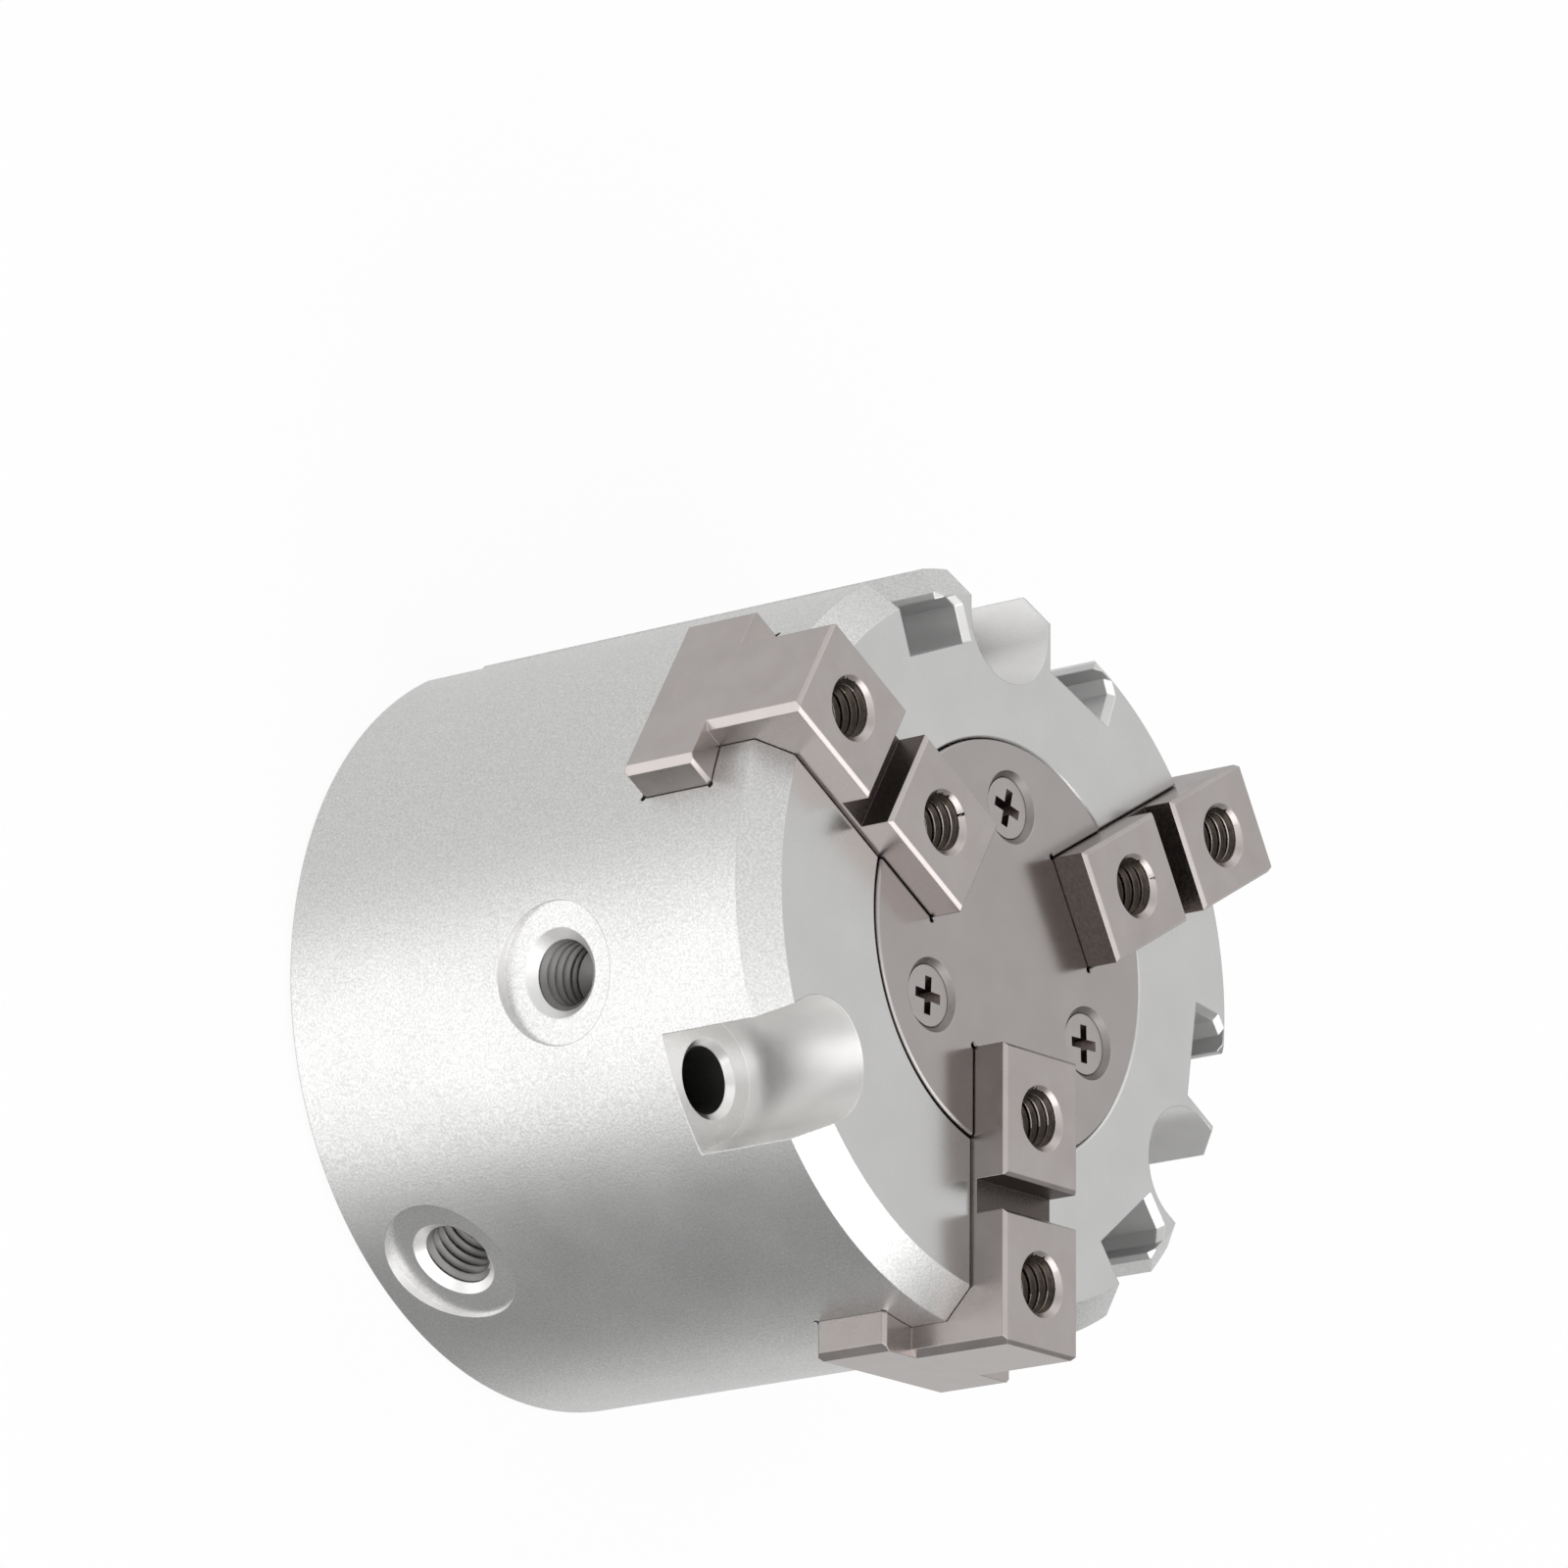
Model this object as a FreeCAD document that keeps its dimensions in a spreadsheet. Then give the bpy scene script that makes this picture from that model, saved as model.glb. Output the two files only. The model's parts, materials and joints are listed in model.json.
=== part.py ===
"""Three-jaw pneumatic gripper with a round aluminium body.

Millimetres. Z runs along the body's axis, from the rear mounting face at
zero to the jaws at the top. One jaw slides along +Y and the other two at 120
degrees each side of it. The jaws are drawn closed, with the piston at the
rear end of its stroke.
"""
import FreeCAD
import Part
import Sketcher
import math
import os

os.makedirs("parts", exist_ok=True)
doc = FreeCAD.newDocument("ThreeJawGripper")
sheet = doc.addObject("Spreadsheet::Sheet", "Sizes")


# Driving dimensions

DRIVING_SIZES = {
    # Body: a turned aluminium cylinder
    "body_radius": 26.0,
    "front_chamfer": 2.1,
    "rear_chamfer": 0.3,
    "bore_radius": 16.0,
    "partition": 4.3,
    "cap_seat_step": 1.0,
    "cap_seat_depth": 5.4,
    # Cover disc let into the front face
    "disc_radius": 14.1,
    "disc_depth": 2.4,
    "disc_proud": 0.15,
    "disc_gap": 0.12,
    "disc_bevel": 0.12,
    "cover_screw_circle": 9.7,
    "cover_screw_thread": 1.25,
    "cover_screw_head": 2.1,
    "cover_screw_sink": 0.35,
    "cover_screw_length": 6.0,
    "cover_screw_slack": 0.12,
    "cross_recess_depth": 1.06,
    "cross_recess_reach": 1.3,
    "cross_recess_root": 0.53,
    "cross_recess_width": 0.6,
    # Jaws: bars of T section
    "jaw_width": 7.8,
    "jaw_length": 20.2,
    "jaw_inner_end": 7.5,
    "jaw_proud": 2.8,
    "jaw_bevel": 0.25,
    "jaw_end_chamfer": 0.5,
    "tee_width": 13.5,
    "tee_depth": 10.8,
    "tee_thickness": 5.8,
    "jaw_slack": 0.06,
    "keyway_width": 2.3,
    "keyway_depth": 2.4,
    "jaw_hole_pitch": 11.2,
    "jaw_thread": 2.0,
    "jaw_thread_core": 1.65,
    "jaw_hole_depth": 8.0,
    "corner_relief": 0.3,
    # Wedge drive between the cam and the jaws
    "wedge_angle": 45.0,
    "jaw_stroke": 4.0,
    "hook_top_depth": 5.3,
    "hook_neck": 1.5,
    "hook_head": 2.2,
    "hook_neck_width": 3.2,
    "hook_head_width": 5.2,
    "wedge_slack": 0.1,
    "cam_height": 5.4,
    "cam_leg_land": 1.2,
    "cam_slack": 0.2,
    # Piston and rod
    "rod_radius": 4.0,
    "rod_slack": 0.03,
    "rod_seat": 0.6,
    "rod_spigot_radius": 3.0,
    "rivet_radius": 3.9,
    "rivet_depth": 1.5,
    "gasket_section": 0.38,
    "gasket_inset": 1.8,
    "piston_slack": 0.2,
    "piston_land": 1.0,
    "seal_width": 2.8,
    "seal_depth": 2.8,
    "seal_lip": 0.47,
    "magnet_width": 3.2,
    "magnet_depth": 3.6,
    "wear_ring_width": 2.3,
    "wear_ring_depth": 1.3,
    "seal_slack": 0.03,
    "groove_slack": 0.05,
    "stop_slack": 0.1,
    "bumper_thickness": 1.2,
    "front_bumper_inner": 7.0,
    "front_bumper_outer": 11.5,
    "rear_bumper_inner": 4.6,
    "rear_bumper_outer": 8.0,
    "bumper_recess": 0.8,
    "cam_screw_head_radius": 3.5,
    "cam_screw_head_height": 2.8,
    "cam_screw_thread": 2.0,
    "cam_screw_length": 8.0,
    "cam_screw_socket": 2.5,
    "cam_screw_tap_spare": 1.3,
    # Seals, rear cap and its ring
    "rod_seal_radius": 6.5,
    "rod_seal_depth": 3.0,
    "rod_seal_mouth": 0.4,
    "retainer_thickness": 0.8,
    "ring_groove_depth": 1.1,
    "ring_height": 0.8,
    "ring_thickness": 1.2,
    "ring_band": 2.3,
    "ring_ear_radius": 2.0,
    "ring_ear_hole": 0.8,
    "ring_gap": 9.0,
    "ring_slack": 0.05,
    "cap_groove_width": 1.7,
    "cap_seal_section": 0.69,
    # Mounting bolts, air ports and sensor grooves
    "bolt_circle": 22.5,
    "bolt_hole": 2.25,
    "bolt_counterbore": 4.15,
    "counterbore_depth": 9.6,
    "bolt_hole_chamfer": 0.5,
    "port_thread": 2.5,
    "port_core": 2.1,
    "port_depth": 5.0,
    "port_chamfer": 0.5,
    "port_drill": 0.9,
    "spotface_radius": 4.8,
    "spotface_depth": 0.7,
    "port_inset": 1.3,
    "front_port_offset": 21.0,
    "rear_port_offset": 20.0,
    "groove_offset": 21.4,
    "groove_depth": 5.6,
    "groove_hooked_side": 3.15,
    "groove_plain_side": 3.45,
    "groove_corner": 0.75,
    "hook_thickness": 2.3,
    "hook_nose": 0.5,
    "hook_reach": 1.95,
    "groove_web": 0.3,
    "pin_hole": 1.5,
    "pin_hole_depth": 3.0,
    "pin_hole_circle": 20.5,
}


class Length:
    """A size as a number, with the formula on the sheet that gives it."""

    def __init__(self, value, formula):
        self.value = value
        self.formula = formula

    def joined(self, other, sign, value):
        return Length(value, f"({self.formula} {sign} {as_length(other).formula})")

    def __add__(self, other):
        return self.joined(other, "+", self.value + as_length(other).value)

    def __sub__(self, other):
        return self.joined(other, "-", self.value - as_length(other).value)

    def __mul__(self, other):
        return self.joined(other, "*", self.value * as_length(other).value)

    def __truediv__(self, other):
        return self.joined(other, "/", self.value / as_length(other).value)

    def __radd__(self, other):
        return as_length(other) + self

    def __rsub__(self, other):
        return as_length(other) - self

    def __rmul__(self, other):
        return as_length(other) * self

    def __neg__(self):
        return as_length(-1) * self


def as_length(value):
    return value if isinstance(value, Length) else Length(float(value), f"{float(value)}")


def tangent(angle):
    return Length(math.tan(math.radians(angle.value)), f"tan({angle.formula} * 1 deg)")


def cosine(angle):
    return Length(math.cos(math.radians(angle.value)), f"cos({angle.formula} * 1 deg)")


def sine(angle):
    return Length(math.sin(math.radians(angle.value)), f"sin({angle.formula} * 1 deg)")


def distance(across, along):
    """Length of the diagonal of two sizes at right angles."""
    return Length(
        math.hypot(across.value, along.value),
        f"sqrt({across.formula} * {across.formula} + {along.formula} * {along.formula})")


class Sizes:
    """Gives every driving dimension by its name, tied to its cell."""

    def __getattr__(self, name):
        return Length(float(sheet.get(name)), f"Sizes.{name}")


for row, (name, value) in enumerate(DRIVING_SIZES.items(), start=1):
    sheet.set(f"A{row}", name)
    sheet.set(f"B{row}", str(value))
    sheet.setAlias(f"B{row}", name)
doc.recompute()
size = Sizes()


# Derived places that several pieces share

JAW_COUNT = 3
JAW_PITCH = 360.0 / JAW_COUNT
PIN_SECTOR = 90.0
FIRST_JAW = PIN_SECTOR + JAW_PITCH
PORT_SECTOR = -90.0
CROSS_HEADINGS = (57.0, 62.0, 47.0)

# How far a cutting tool runs past the face that it opens
overcut = as_length(1)

wedge_slope = tangent(size.wedge_angle)
piston_stroke = size.jaw_stroke / wedge_slope
piston_length = 4 * size.piston_land + size.seal_width + size.magnet_width + size.wear_ring_width
piston_rear = size.cap_seat_depth + size.bumper_thickness + 3 * size.stop_slack
piston_front = piston_rear + piston_length
bore_end = piston_front + piston_stroke + size.stop_slack + size.bumper_thickness
cavity_floor = bore_end + size.partition
cam_bottom = cavity_floor + size.cam_slack
cam_top = cam_bottom + size.cam_height
disc_seat = cam_top + piston_stroke + size.cam_slack
front_face = disc_seat + size.disc_depth
disc_top = front_face + size.disc_proud
jaw_top = front_face + size.jaw_proud
tee_bottom = front_face - size.tee_depth
tee_top = tee_bottom + size.tee_thickness
hook_top = front_face - size.hook_top_depth
jaw_outer_end = size.jaw_inner_end + size.jaw_length
keyway_middle = size.jaw_inner_end + size.jaw_length / 2
cam_core = size.jaw_inner_end - size.wedge_slack
cam_knee = cam_bottom + size.cam_leg_land
cam_leg_reach = cam_core + (hook_top - cam_knee) * wedge_slope
cam_leg_width = size.jaw_width - 2 * size.cam_slack
hub_hole = cam_core + size.cam_slack
cavity_radius = distance(cam_leg_reach, cam_leg_width / 2) + size.cam_slack
rod_top = cam_bottom + size.rod_seat
rod_hole = size.rod_radius + size.rod_slack
piston_radius = size.bore_radius - size.piston_slack
seal_radius = size.bore_radius - size.seal_slack
spigot_radius = size.rod_spigot_radius - size.rod_slack
gasket_height = piston_front - size.gasket_inset
seal_start = piston_rear + size.piston_land
magnet_start = seal_start + size.seal_width + size.piston_land
wear_ring_start = magnet_start + size.magnet_width + size.piston_land
cap_seat_radius = size.bore_radius + size.cap_seat_step
ring_groove_radius = cap_seat_radius + size.ring_groove_depth
cap_outer = cap_seat_radius - size.seal_slack
cap_rear = size.ring_height + size.ring_thickness + size.ring_slack


# Drawing helpers

def plane_of(body, role):
    """One of the body's own planes or axes, by its role."""
    return next(item for item in body.Origin.OriginFeatures if item.Role == role)


def new_body(label):
    return doc.addObject("PartDesign::Body", label)


def new_sketch(body, role, lift=None):
    """Puts a sketch on one of the body's own planes, raised by lift if given."""
    sketch = body.newObject("Sketcher::SketchObject", f"{body.Name}_sketch")
    sketch.AttachmentSupport = [(plane_of(body, role), "")]
    sketch.MapMode = "FlatFace"
    if lift is not None:
        sketch.setExpression("AttachmentOffset.Base.z", lift.formula)
    return sketch


def pin_point(sketch, geometry, vertex, place):
    """Ties a point of the sketch to the sheet, or to an axis where it is zero."""
    for kind, axis, length in (("DistanceX", -2, place[0]), ("DistanceY", -1, place[1])):
        if not isinstance(length, Length) and length == 0:
            sketch.addConstraint(Sketcher.Constraint("PointOnObject", geometry, vertex, axis))
            continue
        length = as_length(length)
        constraint = Sketcher.Constraint(kind, -1, 1, geometry, vertex, length.value)
        number = sketch.addConstraint(constraint)
        sketch.setExpression(f"Constraints[{number}]", length.formula)


def plain_point(place):
    return FreeCAD.Vector(as_length(place[0]).value, as_length(place[1]).value, 0)


def outline(sketch, corners):
    """Draws a closed outline of straight lines through the corners."""
    first = sketch.GeometryCount
    count = len(corners)
    for number in range(count):
        start = plain_point(corners[number])
        end = plain_point(corners[(number + 1) % count])
        sketch.addGeometry(Part.LineSegment(start, end), False)
    for number in range(count):
        following = first + (number + 1) % count
        sketch.addConstraint(Sketcher.Constraint("Coincident", first + number, 2, following, 1))
        pin_point(sketch, first + number, 1, corners[number])


def circle(sketch, centre, radius):
    geometry = sketch.addGeometry(
        Part.Circle(plain_point(centre), FreeCAD.Vector(0, 0, 1), radius.value), False)
    pin_point(sketch, geometry, 3, centre)
    number = sketch.addConstraint(Sketcher.Constraint("Radius", geometry, radius.value))
    sketch.setExpression(f"Constraints[{number}]", radius.formula)


def rectangle(low_x, low_y, high_x, high_y):
    return [(low_x, low_y), (high_x, low_y), (high_x, high_y), (low_x, high_y)]


def mirrored(corners):
    return [(-as_length(corner[0]), corner[1]) for corner in corners]


def revolve(body, sketch):
    """Turns the sketch about the body's axis, as a lathe would."""
    turning = body.newObject("PartDesign::Revolution", f"{body.Name}_turning")
    turning.Profile = sketch
    turning.ReferenceAxis = (sketch, ["V_Axis"])
    turning.Angle = 360
    return turning


def turned_body(label, *profiles):
    """A turned piece: each profile is half its section, as (radius, height)."""
    body = new_body(label)
    sketch = new_sketch(body, "XZ_Plane")
    for profile in profiles:
        outline(sketch, profile)
    revolve(body, sketch)
    return body


def pad(body, sketch, thickness):
    """Thickens a side view equally to both sides of its plane."""
    feature = body.newObject("PartDesign::Pad", f"{body.Name}_pad")
    feature.Profile = sketch
    feature.Midplane = True
    feature.Length = thickness.value
    feature.setExpression("Length", thickness.formula)
    return feature


def pocket(body, sketch, depth=None, both_ways=False, backwards=False):
    """Cuts the sketch away: to a depth, or right through where none is given."""
    before = volume_of(body)
    feature = body.newObject("PartDesign::Pocket", f"{body.Name}_pocket")
    feature.Profile = sketch
    feature.Midplane = both_ways
    feature.Reversed = backwards
    if depth is None:
        feature.Type = "ThroughAll"
    else:
        feature.Length = depth.value
        feature.setExpression("Length", depth.formula)
    doc.recompute()
    if not feature.Shape.Volume < before:
        raise RuntimeError(f"{feature.Label} cuts nothing")
    return feature


def volume_of(body):
    doc.recompute()
    return body.Shape.Volume


def repeat_round(body, features):
    """Repeats features round the body's axis, once for each jaw."""
    pattern = body.newObject("PartDesign::PolarPattern", f"{body.Name}_pattern")
    pattern.Originals = features
    pattern.Axis = (plane_of(body, "Z_Axis"), [""])
    pattern.Angle = 360
    pattern.Occurrences = JAW_COUNT
    body.Tip = pattern
    return pattern


def rod_along(label, axis, radius, length, start):
    """A plain cylinder tool, laid along an axis from its start."""
    item = doc.addObject("Part::Cylinder", label)
    item.setExpression("Radius", radius.formula)
    item.setExpression("Height", length.formula)
    item.Placement = FreeCAD.Placement(
        FreeCAD.Vector(0, 0, 0), FreeCAD.Rotation(FreeCAD.Vector(0, 0, 1), axis))
    for letter, place in zip("xyz", start):
        item.setExpression(f"Placement.Base.{letter}", as_length(place).formula)
    return item


def cone_along(label, axis, low_radius, high_radius, length, start):
    """A tapered tool for chamfers and countersinks."""
    item = doc.addObject("Part::Cone", label)
    item.setExpression("Radius1", low_radius.formula)
    item.setExpression("Radius2", high_radius.formula)
    item.setExpression("Height", length.formula)
    item.Placement = FreeCAD.Placement(
        FreeCAD.Vector(0, 0, 0), FreeCAD.Rotation(FreeCAD.Vector(0, 0, 1), axis))
    for letter, place in zip("xyz", start):
        item.setExpression(f"Placement.Base.{letter}", as_length(place).formula)
    return item


def joined(label, items):
    fusion = doc.addObject("Part::MultiFuse", label)
    fusion.Shapes = items
    return fusion


def cut(label, base, tool):
    result = doc.addObject("Part::Cut", label)
    result.Base = base
    result.Tool = tool
    return result


UP = FreeCAD.Vector(0, 0, 1)


def direction_at(degrees):
    angle = math.radians(degrees)
    return FreeCAD.Vector(math.cos(angle), math.sin(angle), 0)


def place_at(radius, angle, height):
    """A point at a radius and an angle round the axis, tied to the sheet."""
    return radius * cosine(angle), radius * sine(angle), height


# Body: turned blank, then the jaw channels, counterbores and sensor grooves

def tee_section(width, head_width, bottom, shoulder, top):
    """Section of a T slot or rail, wide at the bottom and narrow at the top."""
    narrow = width / 2
    wide = head_width / 2
    return [
        (-wide, bottom), (wide, bottom), (wide, shoulder), (narrow, shoulder),
        (narrow, top), (-narrow, top), (-narrow, shoulder), (-wide, shoulder),
    ]


def make_body_blank():
    body = turned_body("body_blank", [
        (size.body_radius - size.rear_chamfer, 0),
        (size.body_radius, size.rear_chamfer),
        (size.body_radius, front_face - size.front_chamfer),
        (size.body_radius - size.front_chamfer, front_face),
        (size.disc_radius + size.disc_gap, front_face),
        (size.disc_radius + size.disc_gap, disc_seat),
        (hub_hole, disc_seat),
        (hub_hole, tee_bottom - size.jaw_slack),
        (cavity_radius, tee_bottom - size.jaw_slack),
        (cavity_radius, cavity_floor),
        (rod_hole, cavity_floor),
        (rod_hole, bore_end + size.rod_seal_depth),
        (size.rod_seal_radius, bore_end + size.rod_seal_depth),
        (size.rod_seal_radius, bore_end),
        (size.bore_radius, bore_end),
        (size.bore_radius, size.cap_seat_depth),
        (cap_seat_radius, size.cap_seat_depth),
        (cap_seat_radius, cap_rear),
        (ring_groove_radius, cap_rear),
        (ring_groove_radius, size.ring_height - size.ring_slack),
        (cap_seat_radius, size.ring_height - size.ring_slack),
        (cap_seat_radius, 0),
    ])

    # Jaw channel along +Y, with relief cuts in its corners
    channel = new_sketch(body, "XZ_Plane")
    outline(channel, tee_section(
        size.jaw_width + 2 * size.jaw_slack, size.tee_width + 2 * size.jaw_slack,
        tee_bottom - size.jaw_slack, tee_top + size.jaw_slack, front_face + overcut))
    channel_cut = pocket(body, channel)
    relief = new_sketch(body, "XZ_Plane")
    corner = size.tee_width / 2
    for side in (-1, 1):
        circle(relief, (side * corner, tee_bottom + size.corner_relief / 2), size.corner_relief)
        circle(relief, (side * corner, tee_top - size.corner_relief / 2), size.corner_relief)
    relief_cut = pocket(body, relief)
    repeat_round(body, [channel_cut, relief_cut])

    # Bolt counterbore, open to the front and to the side wall
    bay = new_sketch(body, "XY_Plane", front_face)
    outline(bay, rectangle(
        -size.bolt_counterbore, -size.body_radius - overcut, size.bolt_counterbore, -size.bolt_circle))
    bay_cut = pocket(body, bay, size.counterbore_depth)
    round_end = new_sketch(body, "XY_Plane", front_face)
    circle(round_end, (0, -size.bolt_circle), size.bolt_counterbore)
    round_cut = pocket(body, round_end, size.counterbore_depth)
    repeat_round(body, [bay_cut, round_cut])
    return body


def groove_tool(label, angle, hook, beside_bay):
    """Solid with the section of one sensor groove.

    The wall on the side given by hook, 1 or -1, ends in a hooked lip with a
    flared mouth. The other wall is plain, and follows the bolt bay beside it
    where the groove opens next to one.
    """
    body = new_body(label)
    sketch = new_sketch(body, "XY_Plane")
    floor = size.body_radius - size.groove_depth
    lip = size.body_radius - size.hook_thickness
    outside = size.body_radius + overcut
    wall = size.groove_hooked_side
    nose = wall - size.hook_reach
    mouth = nose + outside - lip - size.hook_nose
    low = high = size.groove_plain_side
    if beside_bay:
        slope = tangent(size.groove_offset)
        web = (size.bolt_counterbore + size.groove_web) / cosine(size.groove_offset)
        low = floor * slope - web
        high = outside * slope - web
    section = [
        (floor, wall),
        (lip - size.groove_corner, wall),
        (lip, wall - size.groove_corner),
        (lip, nose),
        (lip + size.hook_nose, nose),
        (outside, mouth),
        (outside, -high),
        (floor, -low),
    ]
    outline(sketch, [(radius, hook * across) for radius, across in section])
    pad(body, sketch, 2 * (front_face + overcut))
    body.Placement = FreeCAD.Placement(FreeCAD.Vector(0, 0, 0), FreeCAD.Rotation(UP, 0))
    body.setExpression("Placement.Rotation.Angle", angle.formula)
    return body


def port_tools(label, angle, height):
    """Spotface, thread core, chamfer and air drilling of one port."""
    face = size.body_radius - size.spotface_depth
    outward = direction_at(angle.value)
    inward = direction_at(angle.value + 180.0)
    mouth = size.port_thread + size.port_chamfer
    return [
        rod_along(f"{label}_spotface", outward, size.spotface_radius,
                  size.spotface_depth + overcut, place_at(face, angle, height)),
        rod_along(f"{label}_core", inward, size.port_core, size.port_depth,
                  place_at(face, angle, height)),
        cone_along(f"{label}_chamfer", inward, mouth, size.port_core,
                   mouth - size.port_core, place_at(face, angle, height)),
        rod_along(f"{label}_drilling", inward, size.port_drill,
                  face - size.bore_radius + overcut, place_at(face, angle, height)),
    ]


def make_body():
    blank = make_body_blank()
    tools = []
    for number in range(JAW_COUNT):
        sector = PORT_SECTOR + number * JAW_PITCH
        angle = as_length(sector)
        where = place_at(size.bolt_circle, angle, -overcut)
        tools.append(rod_along(f"bolt_hole_{number}", UP, size.bolt_hole, front_face, where))
        floor = front_face - size.counterbore_depth
        where = place_at(size.bolt_circle, angle, floor - size.bolt_hole_chamfer)
        tools.append(cone_along(
            f"bolt_chamfer_{number}", UP, size.bolt_hole,
            size.bolt_hole + size.bolt_hole_chamfer, size.bolt_hole_chamfer, where))
        where = place_at(
            size.cover_screw_circle, angle,
            disc_top - size.cover_screw_sink - size.cover_screw_length - 2 * size.cover_screw_slack)
        tools.append(rod_along(
            f"cover_thread_{number}", UP, size.cover_screw_thread,
            size.cover_screw_length, where))
        if sector == PORT_SECTOR:
            continue
        for side in (-1, 1):
            label = f"groove_{number}_{side + 1}"
            hook = 1 if sector < PIN_SECTOR else -1
            tools.append(groove_tool(
                label, angle + side * size.groove_offset, hook, side == hook))
    sector = as_length(PORT_SECTOR)
    front_height = bore_end - size.port_inset
    rear_height = size.cap_seat_depth + size.port_inset
    tools += port_tools("front_port", sector - size.front_port_offset, front_height)
    tools += port_tools("rear_port", sector + size.rear_port_offset, rear_height)
    tools.append(rod_along(
        "pin_hole_tool", UP, size.pin_hole, size.pin_hole_depth + overcut,
        place_at(size.pin_hole_circle, as_length(PIN_SECTOR), -overcut)))
    return cut("body", blank, joined("body_tools", tools))


# Cover disc with slots for the jaws, held by three countersunk screws

def make_cover_disc():
    disc = turned_body("cover_disc_blank", [
        (0, disc_seat),
        (size.disc_radius, disc_seat),
        (size.disc_radius, disc_top - size.disc_bevel),
        (size.disc_radius - size.disc_bevel, disc_top),
        (0, disc_top),
    ])
    slot = new_sketch(disc, "XY_Plane", disc_top)
    half = size.jaw_width / 2 + size.disc_gap
    slot_end = size.jaw_inner_end - size.disc_gap
    outline(slot, rectangle(-half, slot_end, half, size.disc_radius + overcut))
    slot_cut = pocket(disc, slot, size.disc_depth + size.disc_proud + overcut)
    relief = new_sketch(disc, "XY_Plane", disc_top)
    for side in (-1, 1):
        circle(relief, (side * half, slot_end), size.corner_relief)
    relief_cut = pocket(disc, relief, size.disc_depth + size.disc_proud + overcut)
    repeat_round(disc, [slot_cut, relief_cut])
    tools = []
    for number in range(JAW_COUNT):
        angle = as_length(PORT_SECTOR + number * JAW_PITCH)
        where = place_at(size.cover_screw_circle, angle, disc_seat - overcut)
        tools.append(rod_along(
            f"disc_hole_{number}", UP, size.cover_screw_thread + size.cover_screw_slack,
            size.disc_depth + 2 * overcut, where))
        narrow = size.cover_screw_thread + size.cover_screw_slack
        wide = size.cover_screw_head + size.cover_screw_sink + size.cover_screw_slack / 2
        where = place_at(size.cover_screw_circle, angle, disc_top - (wide - narrow))
        tools.append(cone_along(
            f"disc_countersink_{number}", UP, narrow, wide, wide - narrow, where))
    return cut("cover_disc", disc, joined("cover_disc_tools", tools))


def make_cover_screw(number, sector, cross_heading):
    """Countersunk screw with a tapered cross recess in its head."""
    angle = as_length(sector)
    head_depth = size.cover_screw_head - size.cover_screw_thread
    head_top = disc_top - size.cover_screw_sink
    label = f"cover_screw_{number}"
    shank = rod_along(
        f"{label}_shank", UP, size.cover_screw_thread - size.cover_screw_slack / 2,
        size.cover_screw_length, place_at(
            size.cover_screw_circle, angle, head_top - size.cover_screw_length))
    head = cone_along(
        f"{label}_head", UP, size.cover_screw_thread - size.cover_screw_slack / 2,
        size.cover_screw_head, head_depth,
        place_at(size.cover_screw_circle, angle, head_top - head_depth))
    arms = []
    reach = size.cross_recess_reach
    root = size.cross_recess_root
    half_width = size.cross_recess_width / 2
    for turn in (0, 90):
        arm = doc.addObject("Part::Wedge", f"{label}_arm_{turn}")
        arm.Placement = FreeCAD.Placement(
            FreeCAD.Vector(0, 0, 0), FreeCAD.Rotation(cross_heading + turn, 0, 90))
        for name, length in (
                ("Xmin", -root), ("Xmax", root), ("X2min", -reach), ("X2max", reach),
                ("Zmin", -half_width), ("Zmax", half_width),
                ("Z2min", -half_width), ("Z2max", half_width),
                ("Ymin", -size.cross_recess_depth), ("Ymax", as_length(0))):
            arm.setExpression(name, length.formula)
        where = place_at(size.cover_screw_circle, angle, head_top)
        for letter, place in zip("xyz", where):
            arm.setExpression(f"Placement.Base.{letter}", place.formula)
        arms.append(arm)
    return cut(label, joined(f"{label}_solid", [shank, head]), joined(f"{label}_recess", arms))


# Jaws: T bars with a keyway, two tapped holes and the wedge hook

def hook_outline(inner, outer, bottom, top):
    """A slab leaning along the wedge: its two lines are given at hook_top."""
    lean = (hook_top - bottom) * wedge_slope
    rise = (top - hook_top) * wedge_slope
    return [
        (inner + lean, bottom), (outer + lean, bottom),
        (outer - rise, top), (inner - rise, top),
    ]


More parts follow.
